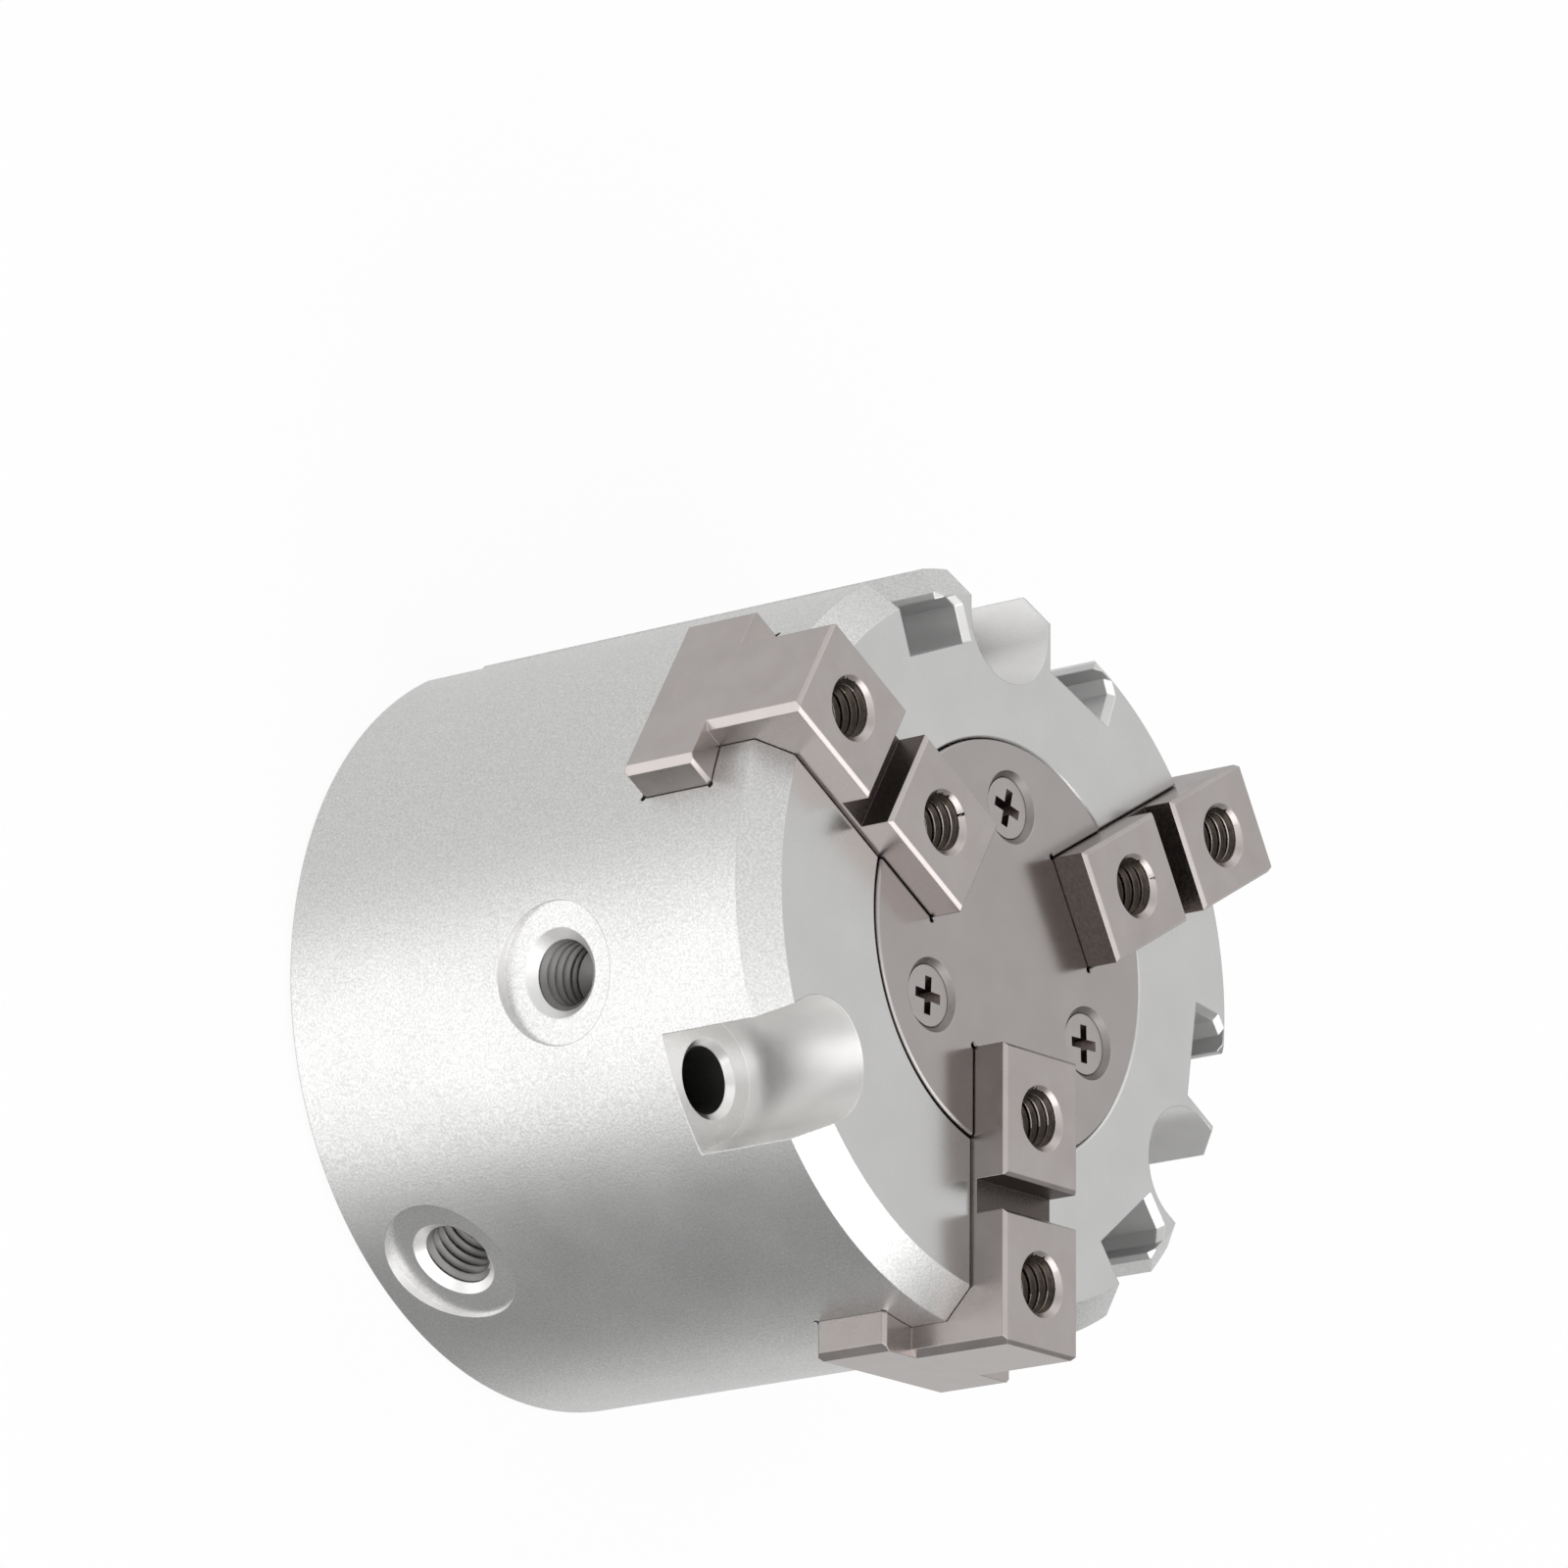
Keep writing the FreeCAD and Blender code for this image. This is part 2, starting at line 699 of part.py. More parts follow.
def make_jaw(number, heading):
    """One jaw, sliding along the given heading round the axis."""
    body = new_body(f"jaw_{number}_bar")
    bevel = size.jaw_bevel
    key_in = keyway_middle - size.keyway_width / 2
    key_out = keyway_middle + size.keyway_width / 2
    key_floor = jaw_top - size.keyway_depth
    wedge_foot = size.jaw_inner_end + (hook_top - tee_bottom) * wedge_slope
    side_view = new_sketch(body, "YZ_Plane")
    outline(side_view, [
        (wedge_foot, tee_bottom),
        (jaw_outer_end - bevel, tee_bottom),
        (jaw_outer_end, tee_bottom + bevel),
        (jaw_outer_end, jaw_top - bevel),
        (jaw_outer_end - bevel, jaw_top),
        (key_out + bevel, jaw_top),
        (key_out, jaw_top - bevel),
        (key_out, key_floor),
        (key_in, key_floor),
        (key_in, jaw_top - bevel),
        (key_in - bevel, jaw_top),
        (size.jaw_inner_end + bevel, jaw_top),
        (size.jaw_inner_end, jaw_top - bevel),
        (size.jaw_inner_end, hook_top),
    ])
    pad(body, side_view, size.tee_width)

    # The shoulders and bevels that leave the T section
    shoulders = new_sketch(body, "XZ_Plane")
    narrow = size.jaw_width / 2
    wide = size.tee_width / 2
    outside = wide + overcut
    shoulder = [
        (narrow, tee_top),
        (wide - bevel, tee_top),
        (outside, tee_top - bevel - overcut),
        (outside, jaw_top + overcut),
        (narrow - bevel - overcut, jaw_top + overcut),
        (narrow, jaw_top - bevel),
    ]
    foot = [
        (wide - bevel - overcut, tee_bottom - overcut),
        (outside, tee_bottom - overcut),
        (outside, tee_bottom + bevel + overcut),
    ]
    for corners in (shoulder, foot):
        outline(shoulders, corners)
        outline(shoulders, mirrored(corners))
    pocket(body, shoulders)

    # Chamfers up the corners of the outer end, of the head and of the neck
    chamfer = size.jaw_end_chamfer
    for half, top, height in ((wide, tee_top, size.tee_thickness),
                              (narrow, jaw_top, jaw_top - tee_top)):
        corners = [
            (half + overcut, jaw_outer_end - chamfer - overcut),
            (half + overcut, jaw_outer_end + overcut),
            (half - chamfer - overcut, jaw_outer_end + overcut),
        ]
        ends = new_sketch(body, "XY_Plane", top)
        outline(ends, corners)
        outline(ends, mirrored(corners))
        pocket(body, ends, height)

    # The hook: a leaning neck with a wider head
    neck_inner = size.jaw_inner_end - size.hook_neck
    neck = new_sketch(body, "YZ_Plane")
    outline(neck, hook_outline(neck_inner - size.hook_head / 2, size.jaw_inner_end,
                               tee_bottom, hook_top))
    pad(body, neck, size.hook_neck_width)
    head = new_sketch(body, "YZ_Plane")
    outline(head, hook_outline(neck_inner - size.hook_head, neck_inner, tee_bottom, hook_top))
    pad(body, head, size.hook_head_width)

    body.Placement = FreeCAD.Placement(FreeCAD.Vector(0, 0, 0), FreeCAD.Rotation(UP, heading - 90))
    tools = []
    angle = as_length(heading)
    chamfer = size.jaw_thread + bevel - size.jaw_thread_core
    for side in (-1, 1):
        radius = keyway_middle + side * size.jaw_hole_pitch / 2
        label = f"jaw_{number}_thread_{side + 1}"
        tools.append(rod_along(label, UP, size.jaw_thread_core, size.jaw_hole_depth + overcut,
                               place_at(radius, angle, jaw_top - size.jaw_hole_depth)))
        tools.append(cone_along(f"{label}_chamfer", UP, size.jaw_thread_core,
                                size.jaw_thread + bevel, chamfer,
                                place_at(radius, angle, jaw_top - chamfer)))
    return cut(f"jaw_{number}", body, joined(f"jaw_{number}_holes", tools))


# Cam: a round core with three leaning legs, each slotted for a jaw's hook

def make_cam():
    cam = turned_body("cam", [
        (size.rod_radius + size.rod_slack, cam_bottom),
        (cam_core, cam_bottom),
        (cam_core, cam_top),
        (size.cam_screw_head_radius + size.cam_slack, cam_top),
        (size.cam_screw_head_radius + size.cam_slack,
         cam_top - size.cam_screw_head_height - size.cam_slack),
        (size.cam_screw_thread + size.cam_slack / 2,
         cam_top - size.cam_screw_head_height - size.cam_slack),
        (size.cam_screw_thread + size.cam_slack / 2, rod_top),
        (size.rod_radius + size.rod_slack, rod_top),
    ])
    lean_top = (hook_top - cam_top) * wedge_slope
    leg = new_sketch(cam, "YZ_Plane")
    outline(leg, [
        (cam_core - overcut, cam_bottom),
        (cam_leg_reach, cam_bottom),
        (cam_leg_reach, cam_knee),
        (cam_core + lean_top, cam_top),
        (cam_core - overcut, cam_top),
    ])
    leg_pad = pad(cam, leg, cam_leg_width)
    repeat_round(cam, [leg_pad])
    neck_inner = size.jaw_inner_end - size.hook_neck
    neck = new_sketch(cam, "YZ_Plane")
    outline(neck, hook_outline(neck_inner - size.hook_head / 2, size.jaw_inner_end + overcut,
                               cam_bottom - overcut, cam_top + overcut))
    neck_cut = pocket(cam, neck, size.hook_neck_width + 2 * size.wedge_slack, both_ways=True)
    head = new_sketch(cam, "YZ_Plane")
    outline(head, hook_outline(
        neck_inner - size.hook_head - size.wedge_slack, neck_inner + size.wedge_slack,
        cam_bottom - overcut, cam_top + overcut))
    head_cut = pocket(cam, head, size.hook_head_width + 2 * size.wedge_slack, both_ways=True)
    repeat_round(cam, [neck_cut, head_cut])
    return cam


# Piston unit: rod, piston, seals, magnet and the screw that holds the cam

def make_cam_screw():
    """Low-head socket screw through the cam into the rod."""
    seat = cam_top - size.cam_screw_head_height - size.cam_slack
    shank = rod_along(
        "cam_screw_shank", UP, size.cam_screw_thread - size.rod_slack,
        size.cam_screw_length, (0, 0, seat - size.cam_screw_length))
    head = rod_along(
        "cam_screw_head", UP, size.cam_screw_head_radius, size.cam_screw_head_height,
        (0, 0, seat))
    socket = doc.addObject("Part::Prism", "cam_screw_socket")
    socket.Polygon = 6
    depth = size.cam_screw_head_height / 2
    socket.setExpression("Circumradius", (size.cam_screw_socket / math.sqrt(3)).formula)
    socket.setExpression("Height", (depth + overcut).formula)
    socket.setExpression("Placement.Base.z", (seat + size.cam_screw_head_height - depth).formula)
    return cut("cam_screw", joined("cam_screw_solid", [shank, head]), socket)


def make_piston_rod():
    tap_floor = rod_top - size.cam_screw_length - size.cam_screw_tap_spare
    gasket_half = size.gasket_section + size.groove_slack
    gasket_floor = spigot_radius - 2 * size.gasket_section
    return turned_body("piston_rod", [
        (0, piston_rear + size.stop_slack),
        (size.rivet_radius, piston_rear + size.stop_slack),
        (size.rivet_radius, piston_rear + size.rivet_depth),
        (spigot_radius, piston_rear + size.rivet_depth),
        (spigot_radius, gasket_height - gasket_half),
        (gasket_floor, gasket_height - gasket_half),
        (gasket_floor, gasket_height + gasket_half),
        (spigot_radius, gasket_height + gasket_half),
        (spigot_radius, piston_front),
        (size.rod_radius, piston_front),
        (size.rod_radius, rod_top),
        (size.cam_screw_thread, rod_top),
        (size.cam_screw_thread, tap_floor),
        (0, tap_floor),
    ])


def make_rod_gasket():
    gasket = doc.addObject("Part::Torus", "rod_gasket")
    gasket.setExpression("Radius1", (spigot_radius - size.gasket_section).formula)
    gasket.setExpression("Radius2", size.gasket_section.formula)
    gasket.setExpression("Placement.Base.z", gasket_height.formula)
    return gasket


def make_piston():
    edge = size.piston_slack
    recess = size.rivet_radius + size.piston_slack
    corners = [
        (size.rod_spigot_radius, piston_rear + size.rivet_depth),
        (recess, piston_rear + size.rivet_depth),
        (recess, piston_rear),
        (piston_radius - edge, piston_rear),
        (piston_radius, piston_rear + edge),
    ]
    for start, width, depth in (
            (seal_start, size.seal_width, size.seal_depth),
            (magnet_start, size.magnet_width, size.magnet_depth),
            (wear_ring_start, size.wear_ring_width, size.wear_ring_depth)):
        corners += [
            (piston_radius, start), (piston_radius - depth, start),
            (piston_radius - depth, start + width), (piston_radius, start + width),
        ]
    corners += [
        (piston_radius, piston_front - edge),
        (piston_radius - edge, piston_front),
        (size.rod_spigot_radius, piston_front),
    ]
    return turned_body("piston", corners)


def make_piston_seal():
    """Ring with two lips that run on the bore."""
    inner = piston_radius - size.seal_depth + size.groove_slack
    low = seal_start + size.groove_slack
    high = seal_start + size.seal_width - size.groove_slack
    middle = seal_start + size.seal_width / 2
    relief = piston_radius - size.piston_slack
    lip = size.seal_lip
    return turned_body("piston_seal", [
        (inner, low), (relief, low), (seal_radius, low + lip), (seal_radius, low + 2 * lip),
        (relief, middle),
        (seal_radius, high - 2 * lip), (seal_radius, high - lip), (relief, high), (inner, high),
    ])


def make_plain_ring(label, inner, outer, low, high):
    return turned_body(label, [(inner, low), (outer, low), (outer, high), (inner, high)])


def make_rod_seal():
    """Lip seal in the partition, its open side towards the pressure."""
    inner = rod_hole
    outer = size.rod_seal_radius - size.groove_slack
    low = bore_end + size.retainer_thickness + size.groove_slack
    high = bore_end + size.rod_seal_depth - size.groove_slack
    middle = (inner + outer) / 2
    mouth = size.rod_seal_mouth
    return turned_body("rod_seal", [
        (inner, low), (middle - mouth, low), (middle, (low + high) / 2), (middle + mouth, low),
        (outer, low), (outer, high), (inner, high),
    ])


# Rear closure: cap, its seal, the bumpers and the retaining ring

def make_end_cap():
    edge = size.piston_slack
    middle = (cap_rear + size.cap_seat_depth) / 2
    floor = cap_seat_radius - 2 * size.cap_seal_section - size.seal_slack
    return turned_body("end_cap", [
        (0, cap_rear),
        (cap_outer - edge, cap_rear),
        (cap_outer, cap_rear + edge),
        (cap_outer, middle - size.cap_groove_width / 2),
        (floor, middle - size.cap_groove_width / 2),
        (floor, middle + size.cap_groove_width / 2),
        (cap_outer, middle + size.cap_groove_width / 2),
        (cap_outer, size.cap_seat_depth),
        (size.rear_bumper_outer + size.groove_slack, size.cap_seat_depth),
        (size.rear_bumper_outer + size.groove_slack, size.cap_seat_depth - size.bumper_recess),
        (0, size.cap_seat_depth - size.bumper_recess),
    ])


def make_cap_seal():
    seal = doc.addObject("Part::Torus", "cap_seal")
    middle = (cap_rear + size.cap_seat_depth) / 2
    radius = cap_seat_radius - size.cap_seal_section - size.seal_slack / 2
    seal.setExpression("Radius1", radius.formula)
    seal.setExpression("Radius2", size.cap_seal_section.formula)
    seal.setExpression("Placement.Base.z", middle.formula)
    return seal


def make_retaining_ring():
    """Sprung ring with a gap and two pierced ears for pliers."""
    outer = ring_groove_radius - size.ring_slack
    inner = outer - size.ring_band
    thickness = size.ring_thickness
    low = size.ring_height
    ear_circle = outer - size.ring_ear_radius - size.ring_slack
    half_gap = size.ring_gap / 2
    band = cut(
        "retaining_band",
        rod_along("ring_outer", UP, outer, thickness, (0, 0, low)),
        rod_along("ring_inner", UP, inner, thickness + 2 * overcut, (0, 0, low - overcut)))
    gap = doc.addObject("Part::Box", "ring_gap")
    for name, length in (
            ("Length", size.ring_gap), ("Width", outer), ("Height", thickness + 2 * overcut),
            ("Placement.Base.x", -half_gap), ("Placement.Base.y", as_length(0)),
            ("Placement.Base.z", low - overcut)):
        gap.setExpression(name, length.formula)
    open_band = cut("open_band", band, gap)
    ears = []
    holes = []
    for side in (-1, 1):
        where = (side * half_gap, ear_circle - size.ring_ear_radius / 2, low)
        ears.append(rod_along(f"ear_{side + 1}", UP, size.ring_ear_radius, thickness, where))
        where = (side * half_gap, ear_circle - size.ring_ear_radius / 2, low - overcut)
        holes.append(rod_along(
            f"ear_hole_{side + 1}", UP, size.ring_ear_hole, thickness + 2 * overcut, where))
    whole = joined("ring_with_ears", [open_band] + ears)
    return cut("retaining_ring", whole, joined("ear_holes", holes))


# Build every piece, check it and write its file

pieces = [make_body(), make_cover_disc(), make_cam(), make_cam_screw()]
for number in range(JAW_COUNT):
    pieces.append(make_jaw(number + 1, FIRST_JAW - number * JAW_PITCH))
for number in range(JAW_COUNT):
    pieces.append(make_cover_screw(
        number + 1, PORT_SECTOR + number * JAW_PITCH, CROSS_HEADINGS[number]))
pieces += [make_piston_rod(), make_rod_gasket(), make_piston(), make_piston_seal()]
pieces.append(make_plain_ring(
    "magnet_ring", piston_radius - size.magnet_depth + size.groove_slack,
    piston_radius - size.piston_slack,
    magnet_start + size.groove_slack, magnet_start + size.magnet_width - size.groove_slack))
pieces.append(make_plain_ring(
    "wear_ring", piston_radius - size.wear_ring_depth + size.groove_slack,
    seal_radius - size.seal_slack,
    wear_ring_start + size.groove_slack,
    wear_ring_start + size.wear_ring_width - size.groove_slack))
pieces.append(make_rod_seal())
pieces.append(make_plain_ring(
    "seal_retainer", rod_hole + size.piston_slack, size.rod_seal_radius - size.seal_slack,
    bore_end, bore_end + size.retainer_thickness))
pieces.append(make_plain_ring(
    "front_bumper", size.front_bumper_inner, size.front_bumper_outer,
    bore_end - size.bumper_thickness, bore_end))
pieces.append(make_plain_ring(
    "rear_bumper", size.rear_bumper_inner, size.rear_bumper_outer,
    size.cap_seat_depth - size.bumper_recess, size.cap_seat_depth + size.bumper_thickness))
pieces += [make_end_cap(), make_cap_seal(), make_retaining_ring()]

doc.recompute()
for item in doc.Objects:
    if "Invalid" in item.State or "Error" in item.State:
        raise RuntimeError(f"{item.Label} did not compute: {item.State}")
for piece in pieces:
    shape = piece.Shape
    if shape.isNull() or not shape.isValid() or len(shape.Solids) != 1:
        raise RuntimeError(f"{piece.Label} is not one sound solid")
for piece in pieces:
    piece.Shape.exportStep(f"parts/{piece.Label}.step")
    print(f"{piece.Label}: {piece.Shape.Volume:.1f} mm3")
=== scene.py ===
"""Three-jaw pneumatic gripper with a round aluminium body, on a pale studio floor.

Metres, in the frame of the solids: Z along the body's axis, from the rear
mounting face at zero up to the jaws. jaw_2 slides along +Y.
"""

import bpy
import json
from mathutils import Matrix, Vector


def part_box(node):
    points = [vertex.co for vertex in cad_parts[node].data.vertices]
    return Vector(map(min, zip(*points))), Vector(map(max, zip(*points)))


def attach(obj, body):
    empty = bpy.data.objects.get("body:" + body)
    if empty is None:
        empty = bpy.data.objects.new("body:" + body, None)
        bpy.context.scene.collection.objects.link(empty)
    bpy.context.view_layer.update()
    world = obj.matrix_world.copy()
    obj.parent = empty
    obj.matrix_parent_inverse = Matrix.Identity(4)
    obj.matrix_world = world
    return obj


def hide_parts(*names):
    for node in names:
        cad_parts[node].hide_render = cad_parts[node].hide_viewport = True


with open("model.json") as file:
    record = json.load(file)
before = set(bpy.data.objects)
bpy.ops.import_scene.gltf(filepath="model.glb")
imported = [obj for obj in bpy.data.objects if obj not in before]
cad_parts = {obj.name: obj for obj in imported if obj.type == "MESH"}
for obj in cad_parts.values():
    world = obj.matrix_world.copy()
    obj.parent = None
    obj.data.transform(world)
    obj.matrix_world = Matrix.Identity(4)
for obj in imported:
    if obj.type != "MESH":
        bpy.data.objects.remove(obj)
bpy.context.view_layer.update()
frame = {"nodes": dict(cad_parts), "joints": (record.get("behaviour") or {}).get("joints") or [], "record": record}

import json
import math

import bmesh
import bpy
from mathutils import Matrix, Vector


# Camera: a long lens, high in front of the ports, rolled so that the body lies
# on its side in the picture with the jaws to the right.

CAMERA_AIM = Vector((-0.01322, 0.00408, 0.02408))
CAMERA_DISTANCE = 0.66242
CAMERA_AZIMUTH = math.radians(-100.497)
CAMERA_ELEVATION = math.radians(37.674)
CAMERA_ROLL = math.radians(78.275)
LENS_MM = 225.0
SENSOR_MM = 36.0
CLIP_START = 0.01


def added(name, data):
    """Puts a new object into the scene."""
    piece = bpy.data.objects.new(name, data)
    bpy.context.collection.objects.link(piece)
    return piece


def direction(azimuth, elevation):
    """Unit vector from the object towards a place in the studio."""
    return Vector((
        math.cos(elevation) * math.cos(azimuth),
        math.cos(elevation) * math.sin(azimuth),
        math.sin(elevation)))


camera_data = bpy.data.cameras.new("camera")
camera_data.lens = LENS_MM
camera_data.sensor_width = SENSOR_MM
camera_data.clip_start = CLIP_START
camera = added("camera", camera_data)
backwards = direction(CAMERA_AZIMUTH, CAMERA_ELEVATION)
turn = backwards.to_track_quat("Z", "Y").to_matrix().to_4x4()
camera.matrix_world = (
    Matrix.Translation(CAMERA_AIM + backwards * CAMERA_DISTANCE)
    @ turn @ Matrix.Rotation(CAMERA_ROLL, 4, "Z"))
bpy.context.scene.camera = camera


# Body: turned from aluminium bar, milled and drilled, bead blasted on its side
# wall and clear anodised. The T channels carry the jaws.

MM = 0.001
SAME_PLACE = 0.0005 * MM
SAME_PLANE = math.radians(0.05)
SHARP_ANGLE = math.radians(30)
LEVEL = 0.999
STEPS_ROUND = 288
BODY_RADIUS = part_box("body")[1].x
FRONT_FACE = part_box("body")[1].z
FRONT_CHAMFER = 2.1 * MM
REAR_CHAMFER = 0.3 * MM
BORE_RADIUS = 16.0 * MM
BORE_END_DEPTH = 16.5 * MM
PARTITION_THICKNESS = 4.3 * MM
CAP_SEAT_RADIUS = 17.0 * MM
CAP_SEAT_DEPTH = 5.4 * MM
RING_GROOVE_RADIUS = 18.1 * MM
RING_GROOVE = (0.75 * MM, 2.05 * MM)
DISC_RECESS_RADIUS = 14.22 * MM
HUB_RADIUS = 7.6 * MM
CAVITY_RADIUS = 13.6 * MM
ROD_HOLE = 4.03 * MM
ROD_SEAL_RADIUS = 6.5 * MM
ROD_SEAL_DEPTH = 3.0 * MM
JAW_SLACK = 0.06 * MM
JAW_WIDTH = 7.8 * MM
TEE_THICKNESS = 5.8 * MM
CORNER_RELIEF = 0.22 * MM
BAY_RADIUS = 4.15 * MM
BAY_DEPTH = 9.6 * MM
BOLT_CHAMFER = 0.5 * MM
SPOTFACE_RADIUS = 4.8 * MM
SPOTFACE_DEPTH = 0.7 * MM
PORT_THREAD = 2.5 * MM
PORT_PITCH = 0.8 * MM
PORT_DEPTH = 5.0 * MM
PORT_CHAMFER = 0.5 * MM
PORT_DRILL = 0.9 * MM
GROOVE_DEPTH = 5.6 * MM
GROOVE_HOOKED_SIDE = 3.15 * MM
GROOVE_PLAIN_SIDE = 3.45 * MM
GROOVE_CORNER = 0.75 * MM
HOOK_THICKNESS = 2.3 * MM
HOOK_NOSE = 0.5 * MM
HOOK_REACH = 1.95 * MM
GROOVE_WEB = 0.3 * MM
HOOK_CHAMFER = 0.45 * MM
EDGE_BREAK = 0.15 * MM
OVERCUT = 1.0 * MM
mounts = {mount["name"]: mount for mount in frame["record"]["mounts"]}
tee_low, tee_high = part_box("jaw_2")
disc_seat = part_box("cover_disc")[0].z
bolt_circle = mounts["bolt_circle"]["dims"]["pcd_mm"] / 2 * MM
bolt_hole = mounts["bolt_circle"]["dims"]["hole_r_mm"] * MM
jaw_headings = {
    joint["child"]: math.atan2(joint["axis"][1], joint["axis"][0])
    for joint in frame["joints"] if joint["child"].startswith("jaw")}
bay_headings = [heading + math.pi for heading in jaw_headings.values()]


def solid(name, mesh):
    """Turns a bmesh into an object of the scene with its faces outwards."""
    bmesh.ops.recalc_face_normals(mesh, faces=mesh.faces)
    data = bpy.data.meshes.new(name)
    mesh.to_mesh(data)
    mesh.free()
    return added(name, data)


def turned(name, profile, steps=STEPS_ROUND):
    """A turned solid from the closed outline of half its section."""
    mesh = bmesh.new()
    rings = []
    for radius, height in profile:
        if radius == 0:
            rings.append(None)
            continue
        angles = [math.tau * step / steps for step in range(steps)]
        rings.append([
            mesh.verts.new((radius * math.cos(angle), radius * math.sin(angle), height))
            for angle in angles])
    for ring, following in zip(rings, rings[1:] + rings[:1]):
        if ring is None or following is None:
            if ring or following:
                mesh.faces.new(ring or following)
            continue
        for step in range(steps):
            after = (step + 1) % steps
            mesh.faces.new((ring[step], ring[after], following[after], following[step]))
    return solid(name, mesh)


def stacked(name, layers, place=Matrix.Identity(4)):
    """Flat outlines of equal length joined one above the other, then placed."""
    mesh = bmesh.new()
    rows = [
        [mesh.verts.new(place @ Vector((x, y, height))) for x, y in outline]
        for outline, height in layers]
    mesh.faces.new(rows[0][::-1])
    mesh.faces.new(rows[-1])
    for low, high in zip(rows, rows[1:]):
        for corner in range(len(low)):
            after = (corner + 1) % len(low)
            mesh.faces.new((low[corner], low[after], high[after], high[corner]))
    return solid(name, mesh)


def prism(name, outline, low, high, place=Matrix.Identity(4)):
    """A flat outline thickened along Z from low to high, then placed."""
    return stacked(name, [(outline, low), (outline, high)], place)


def arc(centre, radius, start, end, steps):
    """Points along an arc, angles in radians."""
    return [
        (centre[0] + radius * math.cos(start + (end - start) * step / steps),
         centre[1] + radius * math.sin(start + (end - start) * step / steps))
        for step in range(steps + 1)]


def rod(name, radius, low, high, place=Matrix.Identity(4), steps=64, top_radius=None):
    """A cylinder or cone along Z from low to high, then placed."""
    top = radius if top_radius is None else top_radius
    piece = turned(name, [(0, low), (radius, low), (top, high), (0, high)], steps)
    piece.data.transform(place)
    return piece


def countersink(name, inner, outer, surface, place, steps=64):
    """A cone of 45 degrees that widens a hole's mouth at the height of a surface."""
    return rod(name, inner, surface - (outer - inner), surface + OVERCUT, place, steps,
               top_radius=outer + OVERCUT)


def looking(place, axis):
    """Matrix that takes +Z to the given axis and the origin to the place."""
    return Matrix.Translation(place) @ Vector(axis).to_track_quat("Z", "Y").to_matrix().to_4x4()


THREAD_SLOPE = 1.3
THREAD_CREST = 0.12
THREAD_RUN_OUT = 1.5
SPARE_TURNS = 3


def thread_tool(name, thread, core, pitch, depth, place, steps=60, rows=12):
    """Inside of a tapped hole as a solid, its mouth at the origin.

    The thread is flat at its crest, and runs out at the bottom of the hole.
    """
    mesh = bmesh.new()
    count = rows * (int(depth / pitch) + SPARE_TURNS)
    columns = []
    for step in range(steps):
        angle = math.tau * step / steps
        column = []
        for row in range(count):
            height = pitch * (row / rows + step / steps) - depth
            ridge = 1 - abs(2 * (row % rows) / rows - 1)
            ridge = min(max(THREAD_SLOPE * ridge - THREAD_CREST, 0), 1)
            fade = min(max((height + depth) / (THREAD_RUN_OUT * pitch), 0), 1)
            radius = core + (thread - core) * ridge * fade
            column.append(mesh.verts.new(
                (radius * math.cos(angle), radius * math.sin(angle), height)))
        columns.append(column)
    for step in range(steps):
        lift = rows if step == steps - 1 else 0
        column = columns[step]
        after = columns[(step + 1) % steps]
        for row in range(count - 1 - lift):
            mesh.faces.new((
                column[row], after[row + lift], after[row + lift + 1], column[row + 1]))
    rims = [edge for edge in mesh.edges if len(edge.link_faces) == 1]
    for lower, apex in ((True, -depth - pitch / 2), (False, pitch * count / rows + pitch - depth)):
        centre = mesh.verts.new((0, 0, apex))
        for edge in rims:
            middle = (edge.verts[0].co.z + edge.verts[1].co.z) / 2
            if (middle < -depth + 2 * pitch) == lower:
                mesh.faces.new((edge.verts[0], edge.verts[1], centre))
    piece = solid(name, mesh)
    piece.data.transform(place)
    return piece


def settle(piece):
    """Gives a piece the plain mesh that its modifiers make, and drops them."""
    bpy.context.view_layer.update()
    shown = piece.evaluated_get(bpy.context.evaluated_depsgraph_get())
    result = bpy.data.meshes.new_from_object(shown)
    piece.modifiers.clear()
    piece.data = result


def carve(piece, tools, operation="DIFFERENCE"):
    """Cuts the tools out of a piece one after another, and deletes them."""
    for tool in tools:
        step = piece.modifiers.new(tool.name, "BOOLEAN")
        step.operation = operation
        step.solver = "MANIFOLD"
        step.object = tool
    settle(piece)
    piece.data.materials.clear()
    for tool in tools:
        bpy.data.objects.remove(tool)
    mesh = bmesh.new()
    mesh.from_mesh(piece.data)
    bmesh.ops.remove_doubles(mesh, verts=mesh.verts, dist=SAME_PLACE)
    bmesh.ops.dissolve_degenerate(mesh, edges=mesh.edges, dist=SAME_PLACE)
    bmesh.ops.dissolve_limit(
        mesh, angle_limit=SAME_PLANE, verts=mesh.verts, edges=mesh.edges)
    mesh.to_mesh(piece.data)
    mesh.free()


def smooth_between_edges(piece, flat_from=math.inf):
    """Smooth shading that breaks at sharp edges, level faces and where finishes meet.

    A face of the area flat_from or more is taken as flat too.
    """
    piece.data.polygons.foreach_set("use_smooth", [True] * len(piece.data.polygons))
    piece.data.set_sharp_from_angle(angle=SHARP_ANGLE)
    mesh = bmesh.new()
    mesh.from_mesh(piece.data)
    for edge in mesh.edges:
        finishes = {face.material_index for face in edge.link_faces}
        flat = any(
            abs(face.normal.z) > LEVEL or face.calc_area() > flat_from
            for face in edge.link_faces)
        if len(finishes) > 1 or flat:
            edge.smooth = False
    mesh.to_mesh(piece.data)
    mesh.free()


